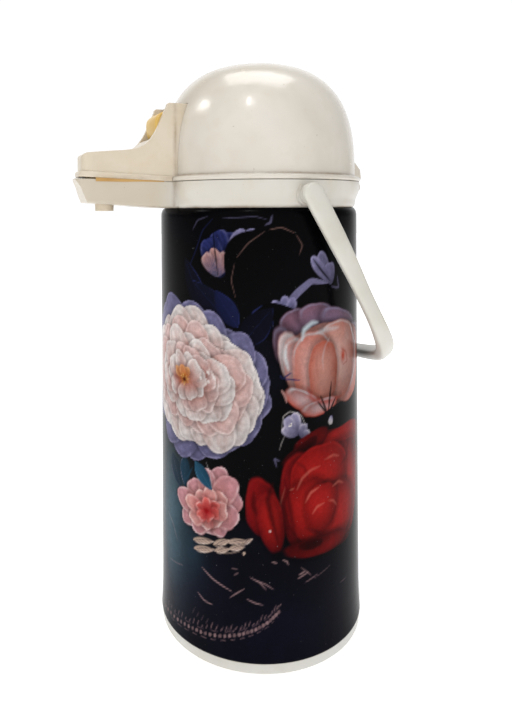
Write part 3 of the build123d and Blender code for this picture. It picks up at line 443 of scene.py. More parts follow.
# the painter works on arrays of arc length A and height Zg
class Painter:
    def __init__(self, a, z):
        self.a, self.z = a, z
        self.img = np.zeros(a.shape + (3,))
        h, w = a.shape
        # smooth value noise on a periodic lattice
        self.period = 2 * math.pi * R

    def noise(self, sa, sz, seed=0, octaves=3):
        rng = np.random.default_rng(1000 + seed)
        total, amp, norm = 0, 1.0, 0
        for o in range(octaves):
            na = max(4, int(self.period / (sa / 2 ** o)))
            nz = max(4, int(300.0 / (sz / 2 ** o)) + 2)
            g = rng.random((nz + 2, na))
            fa = ((self.a + self.period * 2) % self.period) / self.period * na
            fz = np.clip(self.z / 300.0 * nz, 0, nz)
            ia, iz = fa.astype(int), fz.astype(int)
            ta, tz = fa - ia, fz - iz
            ta, tz = ta * ta * (3 - 2 * ta), tz * tz * (3 - 2 * tz)
            a0, a1 = ia % na, (ia + 1) % na
            v = (g[iz, a0] * (1 - ta) + g[iz, a1] * ta) * (1 - tz) + (g[iz + 1, a0] * (1 - ta) + g[iz + 1, a1] * ta) * tz
            total = total + v * amp
            norm += amp
            amp *= 0.5
        return total / norm

    def lay(self, mask, colour):
        m = np.clip(mask, 0, 1)[..., None]
        self.img = self.img * (1 - m) + colour * m

    def local(self, ca, cz, rot):
        da = (self.a - ca + self.period * 1.5) % self.period - self.period / 2
        dz = self.z - cz
        c, s = math.cos(rot), math.sin(rot)
        return da * c + dz * s, -da * s + dz * c

    def window(self, ca, cz, reach):
        da = (self.a[0] - ca + self.period * 1.5) % self.period - self.period / 2
        cols = np.where(np.abs(da) < reach)[0]
        rows = np.where(np.abs(self.z[:, 0] - cz) < reach)[0]
        return rows, cols

    def petal(self, ca, cz, rot, length, width, base, tip, rim=None, rim_w=0.9, blunt=0.55, streak=0.13, seed=0,
              shadow=0.45, wave=0.05, tone=None):
        """A petal whose root is at (ca, cz) and whose axis points along rot (0 is up, positive turns left)."""
        rows, cols = self.window(ca, cz, length * 1.25 + width + 4)
        if len(rows) == 0 or len(cols) == 0:
            return
        ix = np.ix_(rows, cols)
        sub = Painter.__new__(Painter)
        sub.a, sub.z, sub.period = self.a[ix], self.z[ix], self.period
        x, y = sub.local(ca, cz, rot)
        rng = np.random.default_rng(7000 + seed)
        p1, p2, p3 = rng.random(3) * 6.28
        t = y / length
        th = np.arctan2(x, np.maximum(y, 1e-3))
        edge = 1 + wave * np.sin(5 * th + p1) + 0.5 * wave * np.sin(11 * th + p2)
        tt = np.clip(t / edge, 0, 1)
        w = width * np.power(np.clip(tt, 0, 1), blunt) * np.sqrt(np.clip(1 - np.power(tt, 2.6), 0, 1)) * 1.12
        d = (w - np.abs(x))                       # positive inside, mm across
        top = (edge - t) * length
        d = np.where(t < 0, -5.0, np.minimum(d, top))
        m = np.clip(d / 0.75 + 0.5, 0, 1)
        img = self.img[ix]
        if shadow:
            sh = np.clip((d + 3.2) / 4.2, 0, 1) * (1 - m) * shadow * np.clip(t * 2.2, 0, 1)
            img = img * (1 - sh[..., None] * 0.85)
        n3, n4 = g3[ix] - 0.5, g4[ix] - 0.5
        shade = np.clip(tt, 0, 1) ** 1.15
        s = np.sin(th * 40 + 3.1 * np.sin(y * 0.35 + p3) + p2 + 5 * n3) * 0.5 + 0.5
        shade = np.clip(shade + streak * (s - 0.5) * 0.5 + n3 * 0.42 + n4 * 0.16, 0, 1)
        col = np.array(base)[None, None] * (1 - shade[..., None]) + np.array(tip)[None, None] * shade[..., None]
        # each petal catches the light from the upper left
        lit = (-(x * math.cos(rot) - (y - 0.55 * length) * math.sin(rot)) * 0.55
               + (x * math.sin(rot) + (y - 0.55 * length) * math.cos(rot)) * 0.65) / length
        col = col * (1 + 0.30 * np.clip(lit, -0.7, 0.7) + 0.20 * n4 + 0.10 * (rng.random() - 0.5))[..., None]
        # edge turned up, thin and broken
        ed = np.clip(1 - np.abs(d - 0.7) / 0.9, 0, 1) * np.clip((t - 0.35) * 2.2, 0, 1) * np.clip(0.5 + 2.4 * n4, 0, 1)
        if tone is not None:                      # soft side shadow
            side = np.clip(0.5 + x / (2 * width + 1e-6) * tone, 0, 1)
            col = col * (0.78 + 0.3 * side[..., None])
        if rim is not None:
            rm = ed * 0.55
            col = col * (1 - rm[..., None]) + np.array(rim)[None, None] * rm[..., None]
        # the fold behind the edge
        fo = np.clip(1 - np.abs(d - 2.6) / 1.6, 0, 1) * np.clip((t - 0.45) * 2, 0, 1) * 0.16
        col = np.clip(col * (1 - fo[..., None]), 0, 1)
        self.img[ix] = img * (1 - m[..., None]) + col * m[..., None]

    def leaf(self, ca, cz, rot, length, width, fill, line, line_w=0.45, vein=True, curl=0.0, line_alpha=0.8, seed=0):
        rows, cols = self.window(ca, cz, length * 1.2 + 4)
        if len(rows) == 0 or len(cols) == 0:
            return
        ix = np.ix_(rows, cols)
        sub = Painter.__new__(Painter)
        sub.a, sub.z, sub.period = self.a[ix], self.z[ix], self.period
        x, y = sub.local(ca, cz, rot)
        x = x - curl * width * np.sin(np.clip(y / length, 0, 1) * math.pi)
        t = np.clip(y / length, -0.2, 1.2)
        w = width * np.sin(np.clip(t, 0, 1) ** 0.85 * math.pi) ** 0.85
        d = w - np.abs(x)
        d = np.where((t < 0) | (t > 1), -5, d)
        m = np.clip(d / 0.7 + 0.5, 0, 1)
        img = self.img[ix]
        tone = 0.75 + 0.5 * np.clip(0.5 + x / (2 * width), 0, 1)
        col = np.array(fill)[None, None] * tone[..., None]
        img = img * (1 - m[..., None]) + col * m[..., None]
        rng = np.random.default_rng(300 + seed)
        ph = rng.random() * 6
        la = np.clip(1 - np.abs(d - 0.2) / line_w, 0, 1) * (x > 0) * (0.5 + 0.5 * np.sin(t * 9 + ph)) ** 0.6 * line_alpha
        if vein:
            la = np.maximum(la, np.clip(1 - np.abs(x) / (line_w * 0.8), 0, 1) * (t > 0.05) * (t < 0.9) * 0.35 * line_alpha)
        img = img * (1 - la[..., None]) + np.array(line)[None, None] * la[..., None]
        self.img[ix] = img

    def stroke(self, pts, width, colour, alpha=0.9, taper=True, dash=0.0, soft=0.55):
        """A brush stroke through points (arc, height)."""
        pts = np.array(pts, float)
        ca, cz = pts.mean(0)
        reach = np.abs(pts - pts.mean(0)).max() + width * 2 + 3
        rows, cols = self.window(ca, cz, reach)
        if len(rows) == 0 or len(cols) == 0:
            return
        ix = np.ix_(rows, cols)
        a = (self.a[ix] - ca + self.period * 1.5) % self.period - self.period / 2 + ca
        z = self.z[ix]
        # resample a smooth curve
        q = np.linspace(0, len(pts) - 1, 8 * len(pts))
        ca_s = np.interp(q, range(len(pts)), pts[:, 0])
        cz_s = np.interp(q, range(len(pts)), pts[:, 1])
        k = np.array([1, 2, 3, 2, 1]) / 9
        if len(q) > 8:
            ca_s[2:-2] = np.convolve(ca_s, k, "valid")
            cz_s[2:-2] = np.convolve(cz_s, k, "valid")
        best = np.full(a.shape, 1e9)
        along = np.zeros(a.shape)
        for i in range(len(q) - 1):
            p, d = np.array([ca_s[i], cz_s[i]]), np.array([ca_s[i + 1] - ca_s[i], cz_s[i + 1] - cz_s[i]])
            L = d @ d + 1e-9
            u = np.clip(((a - p[0]) * d[0] + (z - p[1]) * d[1]) / L, 0, 1)
            dist = np.hypot(a - p[0] - u * d[0], z - p[1] - u * d[1])
            better = dist < best
            best = np.where(better, dist, best)
            along = np.where(better, (i + u) / (len(q) - 1), along)
        w = width / 2 * (np.sin(np.clip(along, 0.02, 0.98) * math.pi) ** 0.5 if taper else 1)
        m = np.clip((w - best) / soft + 0.5, 0, 1) * alpha
        if dash:
            m = m * (np.sin(along * dash) > -0.2)
        self.img[ix] = self.img[ix] * (1 - m[..., None]) + np.array(colour)[None, None] * m[..., None]


P = Painter(A, Zg)
BLACK = np.array(lin(15, 14, 18))
NAVY = np.array(lin(24, 24, 52))
BLUE = np.array(lin(34, 44, 118))
LILAC = np.array(lin(150, 138, 172))
PALE_LILAC = np.array(lin(186, 172, 196))
PINK = np.array(lin(222, 168, 160))
ROSE = np.array(lin(206, 128, 112))
CREAM = np.array(lin(240, 224, 218))
RED = np.array(lin(176, 26, 26))
DEEP_RED = np.array(lin(96, 12, 20))
ORANGE = np.array(lin(222, 132, 80))
TEAL = np.array(lin(36, 92, 118))
STRAW = np.array(lin(206, 172, 150))

# ground: near black, bluer towards the foot, with cloudy brushwork
g1 = P.noise(60, 60, 1)
g2 = P.noise(14, 26, 2)
low = np.clip((92 - Zg) / 60, 0, 1)
ground = BLACK[None, None] * (0.75 + 0.5 * g2[..., None])
P.img = ground
P.lay(np.clip(low * 0.85 * (0.35 + g1 * 0.9), 0, 1), NAVY * (0.7 + 0.6 * g2[..., None]))
P.lay(np.clip((g1 - 0.58) * 2.6, 0, 0.35) * (1 - low), NAVY * 1.1)


SHIFT, SEED = 0.0, 0


def to(root, tip, width, base, tip_c, rim=None, seed=0, **kw):
    """One petal from its root to its tip, both (arc, height)."""
    da, dz = tip[0] - root[0], tip[1] - root[1]
    P.petal(root[0] + SHIFT, root[1], math.atan2(-da, dz), math.hypot(da, dz), width, base, tip_c, rim,
            seed=seed + SEED, **kw)


def fan(root, tips, width, base, tip_c, rim=None, seed=0, order=None, **kw):
    idx = list(range(len(tips)))
    np.random.default_rng(900 + seed + SEED).shuffle(idx)
    for i in idx:
        k = 1 + 0.10 * math.sin(7.1 * (i + seed))
        to(root, tips[i], width * k, base * (1 + 0.06 * math.sin(3.3 * i + seed)), tip_c * (1 + 0.05 * math.sin(5.7 * i + seed)),
           rim, seed=seed * 40 + i, **kw)


def line(pts, width, colour, alpha=0.8, **kw):
    P.stroke([(p[0] + SHIFT, p[1]) for p in pts], width, colour, alpha, **kw)


def blade(root, tip, width, fill, edge, **kw):
    da, dz = tip[0] - root[0], tip[1] - root[1]
    P.leaf(root[0] + SHIFT, root[1], math.atan2(-da, dz), math.hypot(da, dz), width, fill, edge, **kw)


def glow(at, ra, rz, colour, amount):
    da = (P.a - at[0] - SHIFT + P.period * 1.5) % P.period - P.period / 2
    d2 = (da / ra) ** 2 + ((P.z - at[1]) / rz) ** 2
    P.lay(np.exp(-d2) * amount * (0.7 + 0.6 * g2), np.array(colour))


def tone(at, ra, rz, factors):
    """Shift the colour inside a soft-edged ellipse."""
    da = (P.a - at[0] - SHIFT + P.period * 1.5) % P.period - P.period / 2
    d = np.sqrt((da / ra) ** 2 + ((P.z - at[1]) / rz) ** 2)
    w = np.clip((1.15 - d) / 0.3, 0, 1)[..., None]
    P.img = P.img * (1 + w * (np.array(factors) - 1))


def soft_line(pts, width, colour, alpha=0.6):
    P.stroke([(p[0] + SHIFT, p[1]) for p in pts], width, colour, alpha, soft=max(0.9, width * 0.75))


def disc(at, ra, rz, rot, inner, outer, edge=None, light=0.2, lobes=(3, 0.03, 0.0), soft=0.9):
    """A rounded petal seen face on: shaded from its middle to its edge, lit from the upper left."""
    rows, cols = P.window(at[0] + SHIFT, at[1], max(ra, rz) * 1.2 + 3)
    if len(rows) == 0 or len(cols) == 0:
        return
    ix = np.ix_(rows, cols)
    sub = Painter.__new__(Painter)
    sub.a, sub.z, sub.period = P.a[ix], P.z[ix], P.period
    x, y = sub.local(at[0] + SHIFT, at[1], rot)
    th = np.arctan2(y / rz, x / ra)
    lim = 1 + lobes[1] * np.sin(lobes[0] * th + lobes[2]) + 0.012 * np.sin(9 * th + at[1])
    rr = np.power(np.abs(x / ra) ** 2.3 + np.abs(y / rz) ** 2.3, 1 / 2.3) / lim
    d = (1 - rr) * min(ra, rz)
    m = np.clip(d / soft + 0.5, 0, 1)
    img = P.img[ix]
    sh = np.clip((d + 3.0) / 3.8, 0, 1) * (1 - m) * 0.5
    img = img * (1 - sh[..., None])
    wob = g3[ix] - 0.5
    t = np.clip(rr ** 1.8 + wob * 0.45, 0, 1)[..., None]
    col = np.array(inner) * (1 - t) + np.array(outer) * t
    lit = 1 + light * np.clip(-x / ra * 0.7 + y / rz * 0.7, -1, 1) + wob * 0.22
    col = col * lit[..., None]
    if edge is not None:
        e = np.clip(1 - np.abs(d - 0.8) / 1.0, 0, 1) * np.clip(y / rz * 1.2 + 0.35, 0, 1) * (0.35 + 0.65 * g4[ix])
        col = col * (1 - 0.75 * e[..., None]) + np.array(edge) * 0.75 * e[..., None]
    P.img[ix] = img * (1 - m[..., None]) + np.clip(col, 0, 1) * m[..., None]


g3 = P.noise(5.0, 9.0, 21, 3)
g4 = P.noise(4.0, 4.0, 22, 2)


def bouquet():
    # ---- dim leaves and a blue tulip at the top
    line([(-50.6, 227.2), (-43.2, 240.3), (-37.5, 253.7), (-30.6, 260.4)], 0.8, BLUE * 1.2, 0.35)
    line([(-24.2, 260.8), (-15.1, 261.1), (-5.0, 261.8), (2.1, 259.9)], 0.7, LILAC * 0.7, 0.4)
    line([(0.6, 256.8), (3.8, 258.2), (4.7, 262.4)], 1.4, LILAC * 0.8, 0.5)
    line([(-45.1, 253.6), (-41.1, 259.6), (-33.9, 261.8)], 0.9, LILAC * 0.6, 0.4)
    fan((-25.6, 226.4), [(-34.9, 250.1), (-27.4, 255.0), (-19.6, 254.2)], 9.5, BLUE * 0.35, BLUE * 1.25, LILAC * 0.8, seed=3, streak=0.7)
    fan((-19.8, 229.5), [(-13.0, 253.6), (-5.8, 254.2), (-0.8, 250.8)], 7.5, BLUE * 0.6, LILAC * 0.95, PALE_LILAC * 0.8, seed=4, streak=0.6)
    fan((-27.5, 227.0), [(-37.2, 240.5), (-29.8, 243.6), (-22.0, 240.9)], 6.2, LILAC * 0.5, PINK * 0.78, CREAM * 0.7, seed=5, streak=0.5)
    line([(-30.3, 253.8), (-29.4, 243.7), (-27.2, 227.8)], 1.1, BLACK, 0.75)
    line([(-20.9, 238.1), (-19.8, 229.5), (-21.3, 219.3)], 1.2, BLACK, 0.7)
    blade((-36.0, 203.9), (-51.7, 236.9), 6.0, NAVY * 0.8, BLUE * 1.4, seed=1)
    blade((-19.9, 200.7), (-45.3, 223.8), 7.0, NAVY * 1.1, BLUE * 1.3, seed=2)
    blade((-15.5, 198.0), (-29.2, 219.0), 6.0, BLUE * 0.55, BLUE * 1.3, seed=3)
    # ---- lilac petals and stem on the right
    line([(9.7, 201.0), (11.9, 209.5), (19.6, 217.7), (28.6, 224.2), (40.7, 222.2)], 4.4, LILAC * 0.85, 0.9)
    fan((11.1, 199.5), [(5.8, 214.6), (12.0, 216.3), (17.4, 214.3)], 4.6, BLUE * 0.6, LILAC * 1.05, PALE_LILAC, seed=6, shadow=0.2)
    fan((43.9, 221.3), [(28.2, 238.3), (34.0, 241.0), (41.9, 234.7)], 5.5, LILAC * 0.5, LILAC * 0.95, PALE_LILAC * 0.9, seed=7, shadow=0.2)
    line([(29.9, 236.8), (35.8, 229.9), (42.8, 223.3)], 1.6, BLACK, 0.8)
    line([(43.9, 219.8), (51.0, 218.4), (49.3, 226.0)], 1.5, LILAC * 0.7, 0.6)
    # ---- the big dark leaf with its thin curled edge
    blade((-17.2, 213.0), (18.2, 252.3), 17.0, BLACK * 0.75, BLACK, vein=False, line_alpha=0.0, curl=-0.5)
    for pts, w, al in (([(-16.6, 215.2), (-19.2, 224.9), (-17.0, 235.3)], 0.55, 0.5), ([(-15.6, 238.4), (-9.1, 246.5), (0.6, 253.3)], 0.65, 0.55),
                       ([(2.4, 254.0), (10.0, 255.5), (18.2, 252.0)], 0.75, 0.6), ([(18.9, 251.2), (22.9, 245.0), (21.0, 239.6)], 0.8, 0.5)):
        line(pts, w, np.array(lin(150, 116, 108)), al)
    blade((-5.4, 195.4), (18.0, 207.8), 12.0, BLACK * 0.8, NAVY * 1.5, seed=5)
    line([(-9.4, 202.5), (-6.1, 207.5), (-1.0, 211.1)], 0.8, BLUE * 2.2, 0.5)
    line([(0.4, 208.3), (4.6, 202.5), (5.7, 193.9)], 0.6, BLUE * 1.6, 0.4)
    blade((-13.4, 188.1), (4.7, 209.6), 8.0, NAVY * 0.75, BLUE * 1.2, seed=7)
    # ---- teal shade and leaves low on the left
    glow((-69.0, 77.4), 16, 38, lin(112, 146, 160), 0.62)
    glow((-46.5, 64.3), 9, 16, lin(52, 82, 98), 0.5)
    blade((-66.8, 114.9), (-56.6, 96.8), 5.5, TEAL * 0.45, LILAC * 0.7, seed=8)
    blade((-52.7, 117.7), (-52.9, 98.8), 4.6, TEAL * 0.6, PALE_LILAC * 0.6, seed=9)
    # ---- the large peony
    lil = np.array(lin(132, 122, 158))
    fan((-52.0, 164.0), [(-80.5, 204.5), (-93.5, 193.0), (-101.0, 176.5), (-101.5, 158.0), (-95.0, 141.5)], 19.0, lil * 0.42, lil,
        PALE_LILAC * 0.95, seed=60, wave=0.035, shadow=0.6)
    fan((-36.3, 164.3), [(-74.4, 209.4), (-50.8, 211.7), (-33.9, 205.3), (-20.3, 196.1), (-7.6, 190.4), (1.1, 179.0), (4.1, 164.0), (1.2, 148.4), (-6.0, 136.2), (-16.6, 127.0),
                     (-30.6, 120.3), (-45.1, 116.5), (-61.0, 117.5), (-75.8, 126.0), (-80.2, 143.8)], 19.0, lil * 0.42, lil, PALE_LILAC * 0.95, seed=10, wave=0.035,
        shadow=0.6)
    fan((-54.0, 163.8), [(-78.0, 197.0), (-89.5, 186.5), (-95.5, 172.0), (-94.5, 156.0), (-87.5, 142.5), (-76.0, 134.5)], 17.0, ROSE * 0.72,
        CREAM * 0.92, CREAM, seed=61, wave=0.04)
    fan((-39.0, 163.9), [(-65.7, 206.3), (-47.5, 208.0), (-34.0, 199.4), (-24.3, 192.1), (-14.8, 185.4), (-6.7, 176.8), (-1.6, 167.2), (-1.1, 155.2), (-3.6, 143.4), (-10.8, 133.1),
                     (-22.7, 125.9), (-35.7, 126.3), (-49.9, 126.8), (-65.3, 129.0)], 17.5, ROSE * 0.72, CREAM * 0.92, CREAM, seed=11, wave=0.04)
    fan((-55.0, 163.6), [(-75.5, 191.0), (-85.5, 178.5), (-88.5, 164.0), (-83.0, 150.0), (-71.5, 140.5)], 15.0, ROSE * 0.80,
        PINK * 0.5 + CREAM * 0.48, CREAM, seed=62, wave=0.04)
    fan((-40.9, 163.3), [(-61.3, 200.3), (-43.9, 198.7), (-32.3, 189.6), (-22.3, 181.8), (-12.7, 174.9), (-7.3, 164.0), (-9.7, 151.8), (-17.6, 140.5), (-29.7, 134.7), (-43.0, 134.8),
                     (-58.0, 138.7)], 15.5, ROSE * 0.80, PINK * 0.5 + CREAM * 0.48, CREAM, seed=12, wave=0.04)
    fan((-42.8, 163.0), [(-67.2, 195.6), (-54.0, 192.6), (-41.3, 187.9), (-30.7, 179.6), (-21.6, 172.1), (-17.5, 162.0), (-20.8, 148.5), (-31.0, 140.6), (-43.9, 140.0),
                     (-58.0, 143.6)], 13.5, ROSE * 0.82, CREAM * 0.92, CREAM, seed=13, wave=0.045)
    fan((-56.0, 163.6), [(-72.0, 183.5), (-79.0, 172.0), (-79.5, 160.0), (-73.0, 149.5)], 12.0, ROSE * 0.80, CREAM * 0.92, CREAM, seed=63,
        wave=0.045)
    fan((-45.8, 163.1), [(-59.2, 186.1), (-47.7, 184.8), (-38.0, 179.4), (-30.1, 170.4), (-26.0, 161.3), (-30.3, 150.6), (-40.1, 146.1), (-51.3, 146.7)], 10.5,
        ROSE * 0.78, PINK * 0.45 + CREAM * 0.52, CREAM, seed=14, wave=0.05)
    fan((-55.5, 163.6), [(-68.5, 175.0), (-71.0, 165.5), (-67.0, 155.5)], 8.0, ROSE * 0.74, CREAM * 0.90, CREAM, seed=64, wave=0.05)
    fan((-48.9, 163.1), [(-61.0, 178.9), (-50.3, 179.6), (-42.1, 175.5), (-35.4, 168.8), (-37.1, 159.1), (-45.9, 152.6), (-57.4, 151.4)], 7.5, ROSE * 0.7, CREAM * 0.90,
        CREAM, seed=15, wave=0.05)
    fan((-52.3, 164.6), [(-62.4, 169.0), (-56.6, 171.6), (-49.6, 171.2)], 3.8, ORANGE * 0.7, np.array(lin(222, 160, 112)), np.array(lin(236, 196, 160)), seed=16)
    glow((-52.8, 163.7), 4.6, 3.6, lin(196, 112, 52), 0.75)
    for k in range(26):
        th = k * 0.62 + 0.3
        r = 24 + 12 * math.sin(k * 2.3)
        q = (-52.8, 163.7)
        line([(q[0] + 0.8 * math.cos(th), q[1] + 0.8 * math.sin(th)), (q[0] + r * 0.13 * math.cos(th), q[1] + r * 0.13 * math.sin(th))], 0.6,
             np.array(lin(*((226, 158, 74), (176, 92, 36), (240, 196, 120))[k % 3])), 0.8)
    glow((-52.8, 163.6), 1.8, 1.5, lin(104, 40, 14), 1.2)
    for p, w in (((-39.5, 166.5), 1.5), ((-34.2, 170.2), 1.4), ((-30.2, 167.8), 2.2), ((-33.9, 165.0), 1.6)):
        line([(p[0] - 0.4, p[1]), (p[0] + 0.4, p[1] + 0.6)], w * 2.0, CREAM, 0.9)
    # ---- pink rose on the right
    mauve = np.array(lin(152, 112, 126))
    disc((18.6, 199.1), 9.3, 9.5, 0.4, mauve * 0.9, mauve * 0.6, edge=PALE_LILAC * 0.8, light=0.25)
    disc((32.5, 203.7), 12.1, 7.5, 0.0, mauve, mauve * 0.62, edge=PALE_LILAC * 0.85, light=0.25)
    disc((52.9, 198.4), 18.4, 7.5, -0.3, mauve * 1.1, mauve * 0.6, edge=PALE_LILAC * 0.8, light=0.25)
    disc((10.1, 188.1), 5.2, 11.5, 0.1, mauve * 0.7, mauve * 0.4, edge=PALE_LILAC * 0.6, light=0.2)
    disc((70.2, 180.5), 11.8, 15.0, -0.1, mauve, mauve * 0.6, edge=PALE_LILAC, light=0.2)
    disc((42.7, 174.4), 30.5, 25.0, 0.0, PINK * 0.95, ROSE * 0.62, light=0.3)
    disc((14.3, 181.4), 6.1, 14.5, 0.12, CREAM * 0.86, PINK * 0.8, edge=CREAM, light=0.25)
    disc((18.9, 176.1), 7.7, 17.0, 0.10, PINK * 1.0, ROSE * 0.75, edge=CREAM * 0.9, light=0.3)
    disc((60.4, 172.5), 21.0, 23.0, -0.06, PINK * 0.9, ROSE * 0.78, light=-0.25)
    disc((50.9, 176.4), 20.2, 23.5, -0.03, np.array(lin(228, 168, 152)), np.array(lin(198, 116, 98)), edge=CREAM * 0.9, light=0.3)
    disc((30.8, 173.3), 14.4, 22.0, 0.06, np.array(lin(226, 162, 148)), np.array(lin(196, 110, 92)), edge=CREAM * 0.8, light=0.35)
    disc((37.8, 169.7), 11.1, 19.0, 0.0, np.array(lin(220, 146, 128)), np.array(lin(190, 98, 78)), light=0.3)
    disc((23.1, 155.3), 12.6, 5.6, -0.5, PINK, np.array(lin(196, 92, 74)), edge=CREAM * 0.95, light=-0.3)
    disc((34.7, 150.1), 13.2, 4.6, 0.1, PINK * 0.9, np.array(lin(190, 84, 66)), edge=CREAM * 0.9, light=-0.3)
    soft_line([(32.0, 193.4), (40.5, 195.0), (50.5, 194.6)], 2.8, CREAM * 0.92, 0.45)
    soft_line([(22.3, 190.2), (23.6, 196.2), (29.0, 199.8), (32.8, 199.7)], 2.6, CREAM, 0.75)
    soft_line([(12.4, 188.0), (11.8, 180.9), (13.8, 173.6)], 2.2, CREAM, 0.7)
    soft_line([(37.0, 172.1), (36.4, 178.1), (38.4, 184.9), (42.0, 189.6)], 1.1, CREAM * 0.8, 0.28)
    soft_line([(26.0, 162.4), (28.7, 155.6), (38.2, 151.9), (51.7, 152.9)], 3.0, np.array(lin(196, 74, 58)), 0.6)
    soft_line([(65.1, 193.7), (73.7, 182.8), (75.5, 168.2), (64.6, 156.7)], 1.2, CREAM * 0.9, 0.6)
    soft_line([(32.7, 182.7), (31.8, 174.8), (33.5, 165.8)], 1.4, np.array(lin(206, 126, 110)), 0.5)
    glow((55.3, 177.1), 2.1, 3.6, lin(204, 70, 40), 1.0)
    soft_line([(53.1, 181.7), (59.0, 178.6), (60.3, 172.7), (55.2, 171.6)], 0.9, np.array(lin(168, 48, 30)), 0.6)
    tone((42.0, 174.0), 34.0, 33.0, (0.80, 0.98, 1.06))
    # sepals
    for tip in ((32.5, 153.6), (34.7, 156.6), (43.4, 163.0), (47.2, 153.4), (53.0, 147.3)):
        line([(40.5, 144.1), tip], 1.4, BLACK, 0.9)
    for tip in ((8.8, 171.0), (15.5, 172.0), (20.8, 167.3)):
        line([(10.2, 168.8), tip], 1.0, BLUE * 0.8, 0.8)
    blade((60.7, 145.4), (30.6, 141.5), 5.0, BLACK * 0.9, NAVY, seed=11)
    to((43.3, 143.5), (42.2, 138.1), 2.6, LILAC * 0.7, CREAM * 0.8, seed=28, shadow=0)
    # ---- bud
    line([(9.5, 162.4), (11.7, 159.1), (12.8, 154.8)], 1.6, PINK * 0.75, 0.8)
    fan((18.3, 135.2), [(10.4, 140.9), (11.9, 147.2), (17.6, 148.6)], 4.6, LILAC * 0.5, PALE_LILAC, CREAM, seed=30, shadow=0.2)
    fan((20.6, 134.9), [(23.9, 142.5), (27.5, 136.5)], 3.6, LILAC * 0.5, PALE_LILAC * 0.8, CREAM * 0.9, seed=31, shadow=0.2)
    line([(14.5, 142.3), (15.1, 141.7)], 3.6, CREAM, 0.95)
    line([(14.7, 142.2), (15.0, 141.7)], 1.0, BLACK, 1.0)
    line([(9.8, 139.5), (10.4, 147.2), (14.6, 150.0), (21.5, 147.1), (24.9, 139.4)], 0.6, CREAM * 0.75, 0.7)
    line([(8.5, 121.7), (5.3, 123.3), (6.7, 118.2)], 1.2, LILAC * 0.8, 0.6)
    line([(8.3, 128.2), (9.3, 131.7), (11.5, 136.5)], 0.6, CREAM * 0.6, 0.5)
    # ---- red rose
    hot = np.array(lin(178, 44, 40))
    mid = np.array(lin(160, 34, 34))
    dark = np.array(lin(98, 16, 22))
    disc((43.0, 99.0), 35.0, 35.5, 0.0, mid * 0.9, dark * 1.3, light=0.2, lobes=(5, 0.02, 0.6))
    disc((52.9, 123.2), 26.2, 12.0, 0.1, hot * 0.92, mid * 0.8, light=0.25)
    disc((28.9, 131.0), 12.2, 5.5, 0.35, mid * 0.8, dark, light=0.2)
    disc((21.7, 126.3), 13.0, 4.0, 0.55, dark * 0.45, dark * 0.7, light=0.1)
    disc((22.0, 99.6), 13.0, 27.0, 0.05, mid, dark * 1.1, light=0.3, edge=hot * 0.8)
    disc((54.9, 98.5), 23.3, 30.0, -0.04, hot, dark * 1.2, light=-0.3, edge=hot * 0.9)
    disc((36.9, 103.9), 22.2, 25.0, 0.04, hot * 1.02, mid * 0.62, light=0.3, edge=hot)
    disc((28.2, 91.4), 15.2, 19.0, 0.25, hot * 0.98, mid * 0.55, light=0.3)
    disc((48.4, 87.6), 19.0, 17.0, -0.25, hot * 0.95, mid * 0.6, light=-0.25)
    disc((35.8, 91.8), 12.1, 13.5, 0.0, hot * 1.05, mid * 0.7, light=0.3)
    disc((34.0, 69.6), 23.3, 5.5, 0.0, mid * 0.75, dark * 0.9, light=-0.2)
    disc((27.6, 71.3), 8.9, 3.0, 0.0, dark * 0.35, dark * 0.6, light=0.0)
    soft_line([(11.4, 110.8), (14.3, 93.4), (17.2, 77.2)], 2.6, dark * 0.8, 0.6)
    soft_line([(17.5, 120.9), (23.7, 116.5), (25.7, 109.0)], 2.0, dark, 0.45)
    soft_line([(23.5, 81.9), (33.8, 75.9), (50.9, 74.2)], 2.4, dark, 0.5)
    soft_line([(60.4, 124.0), (59.6, 115.1), (51.3, 111.6)], 2.0, dark, 0.5)
    pale = np.array(lin(228, 142, 124))
    for pts, w, al in (([(18.6, 104.5), (21.8, 110.6), (27.4, 114.4), (34.0, 115.6)], 1.6, 0.34), ([(24.0, 96.4), (27.5, 101.4), (33.2, 103.4)], 1.5, 0.42),
                       ([(28.6, 89.0), (31.8, 92.4), (37.0, 93.2)], 1.4, 0.40), ([(38.0, 118.6), (44.5, 119.6), (50.2, 117.6)], 1.5, 0.32),
                       ([(44.0, 101.2), (49.6, 102.6), (54.4, 100.2)], 1.5, 0.34), ([(40.4, 93.8), (44.6, 92.6), (47.6, 89.2)], 1.3, 0.32),
                       ([(14.3, 104.8), (16.6, 105.3)], 1.0, 0.4)):
        soft_line(pts, w, pale, al)
    soft_line([(9.8, 85.2), (8.4, 96.7), (11.4, 106.5)], 1.0, pale * 0.7, 0.35)
    disc((-2.4, 95.6), 9.0, 17.0, 0.10, mid * 1.05, dark * 1.4, light=0.25, edge=hot * 0.8, lobes=(4, 0.05, 0.4))
    disc((2.9, 87.7), 7.6, 17.5, 0.18, hot * 0.9, dark * 1.2, light=0.3, edge=hot * 0.8)
    soft_line([(4.1, 109.1), (1.2, 99.9), (3.7, 88.4), (7.1, 75.4)], 2.8, dark * 0.5, 0.7)
    soft_line([(-6.6, 104.1), (-7.1, 96.9), (-5.3, 91.3)], 2.6, dark * 0.5, 0.6)
    line([(2.2, 82.5), (2.8, 81.6)], 1.0, CREAM, 0.8)
